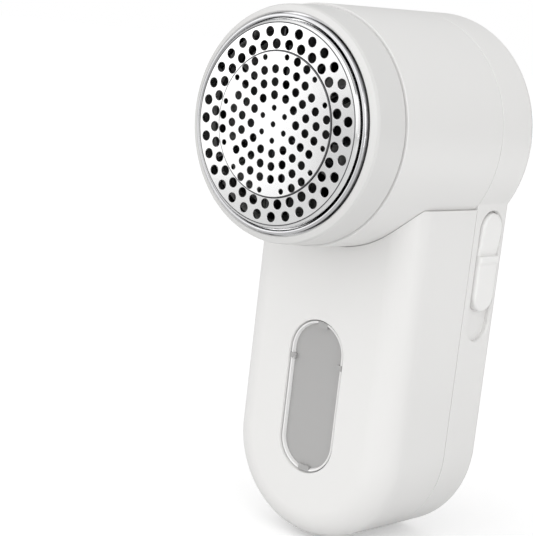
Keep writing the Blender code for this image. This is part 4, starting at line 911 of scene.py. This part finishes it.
def make_studio_world(tree):
    """A white backdrop for the camera, and for the light a room that differs from side to side."""
    background = tree.nodes["Background"]
    background.inputs["Color"].default_value = (1, 1, 1, 1)
    place = tree.nodes.new("ShaderNodeTexCoord")
    split = tree.nodes.new("ShaderNodeSeparateXYZ")
    tree.links.new(place.outputs["Generated"], split.inputs["Vector"])
    total = None
    for side, end, strength in ROOM:
        part = tree.nodes.new("ShaderNodeMapRange")
        part.inputs["From Max"].default_value = end
        part.inputs["To Max"].default_value = strength
        tree.links.new(split.outputs[side], part.inputs["Value"])
        if total is None:
            total = part.outputs["Result"]
            continue
        both = tree.nodes.new("ShaderNodeMath")
        tree.links.new(total, both.inputs[0])
        tree.links.new(part.outputs["Result"], both.inputs[1])
        total = both.outputs["Value"]
    path = tree.nodes.new("ShaderNodeLightPath")
    choose = tree.nodes.new("ShaderNodeMix")
    choose.inputs["B"].default_value = 1.0
    tree.links.new(path.outputs["Is Camera Ray"], choose.inputs["Factor"])
    tree.links.new(total, choose.inputs["A"])
    tree.links.new(choose.outputs["Result"], background.inputs["Strength"])


MIDDLE = Vector((0, -0.03, -0.03))      # roughly the middle of the object


def soft_light(name, place, width, height, watts):
    """A rectangular light that faces the object's middle."""
    data = bpy.data.lights.new(name, "AREA")
    data.shape = "RECTANGLE"
    data.size = width
    data.size_y = height
    data.energy = watts
    light = bpy.data.objects.new(name, data)
    bpy.context.scene.collection.objects.link(light)
    light.location = place
    light.rotation_euler = (MIDDLE - Vector(place)).to_track_quat("-Z", "Y").to_euler()


floor_mesh = bpy.data.meshes.new("floor")
reach = 6.0
floor_z = cad_bounds[0].z - 0.4 * MM
floor_mesh.from_pydata([(-reach, -reach, floor_z), (reach, -reach, floor_z), (reach, reach, floor_z),
                        (-reach, reach, floor_z)], [], [(0, 1, 2, 3)])
floor = bpy.data.objects.new("floor", floor_mesh)
bpy.context.scene.collection.objects.link(floor)
floor_white = new_material("floor_white", (0.80, 0.80, 0.80), 0.9)
floor_mesh.materials.append(floor_white)
show_white(floor_white.node_tree, shader_of(floor_white).outputs["BSDF"], 0.30)

world = bpy.data.worlds.new("studio")
bpy.context.scene.world = world
world.use_nodes = True
make_studio_world(world.node_tree)

soft_light("panel_left", (-0.50, -0.48, 0.05), 0.28, 0.3, 0.18)
soft_light("strip_right", (0.44, -0.46, 0.06), 0.05, 0.5, 0.20)
soft_light("panel_right", (0.55, -0.25, 0.06), 0.16, 0.4, 0.52)
soft_light("panel_far_right", (0.70, 0.10, 0.20), 0.5, 0.5, 0.68)
soft_light("card_back_low", (0.13, 0.16, floor_z + 2 * MM), 0.12, 0.12, 0.014)

bpy.context.scene.view_settings.view_transform = "Standard"
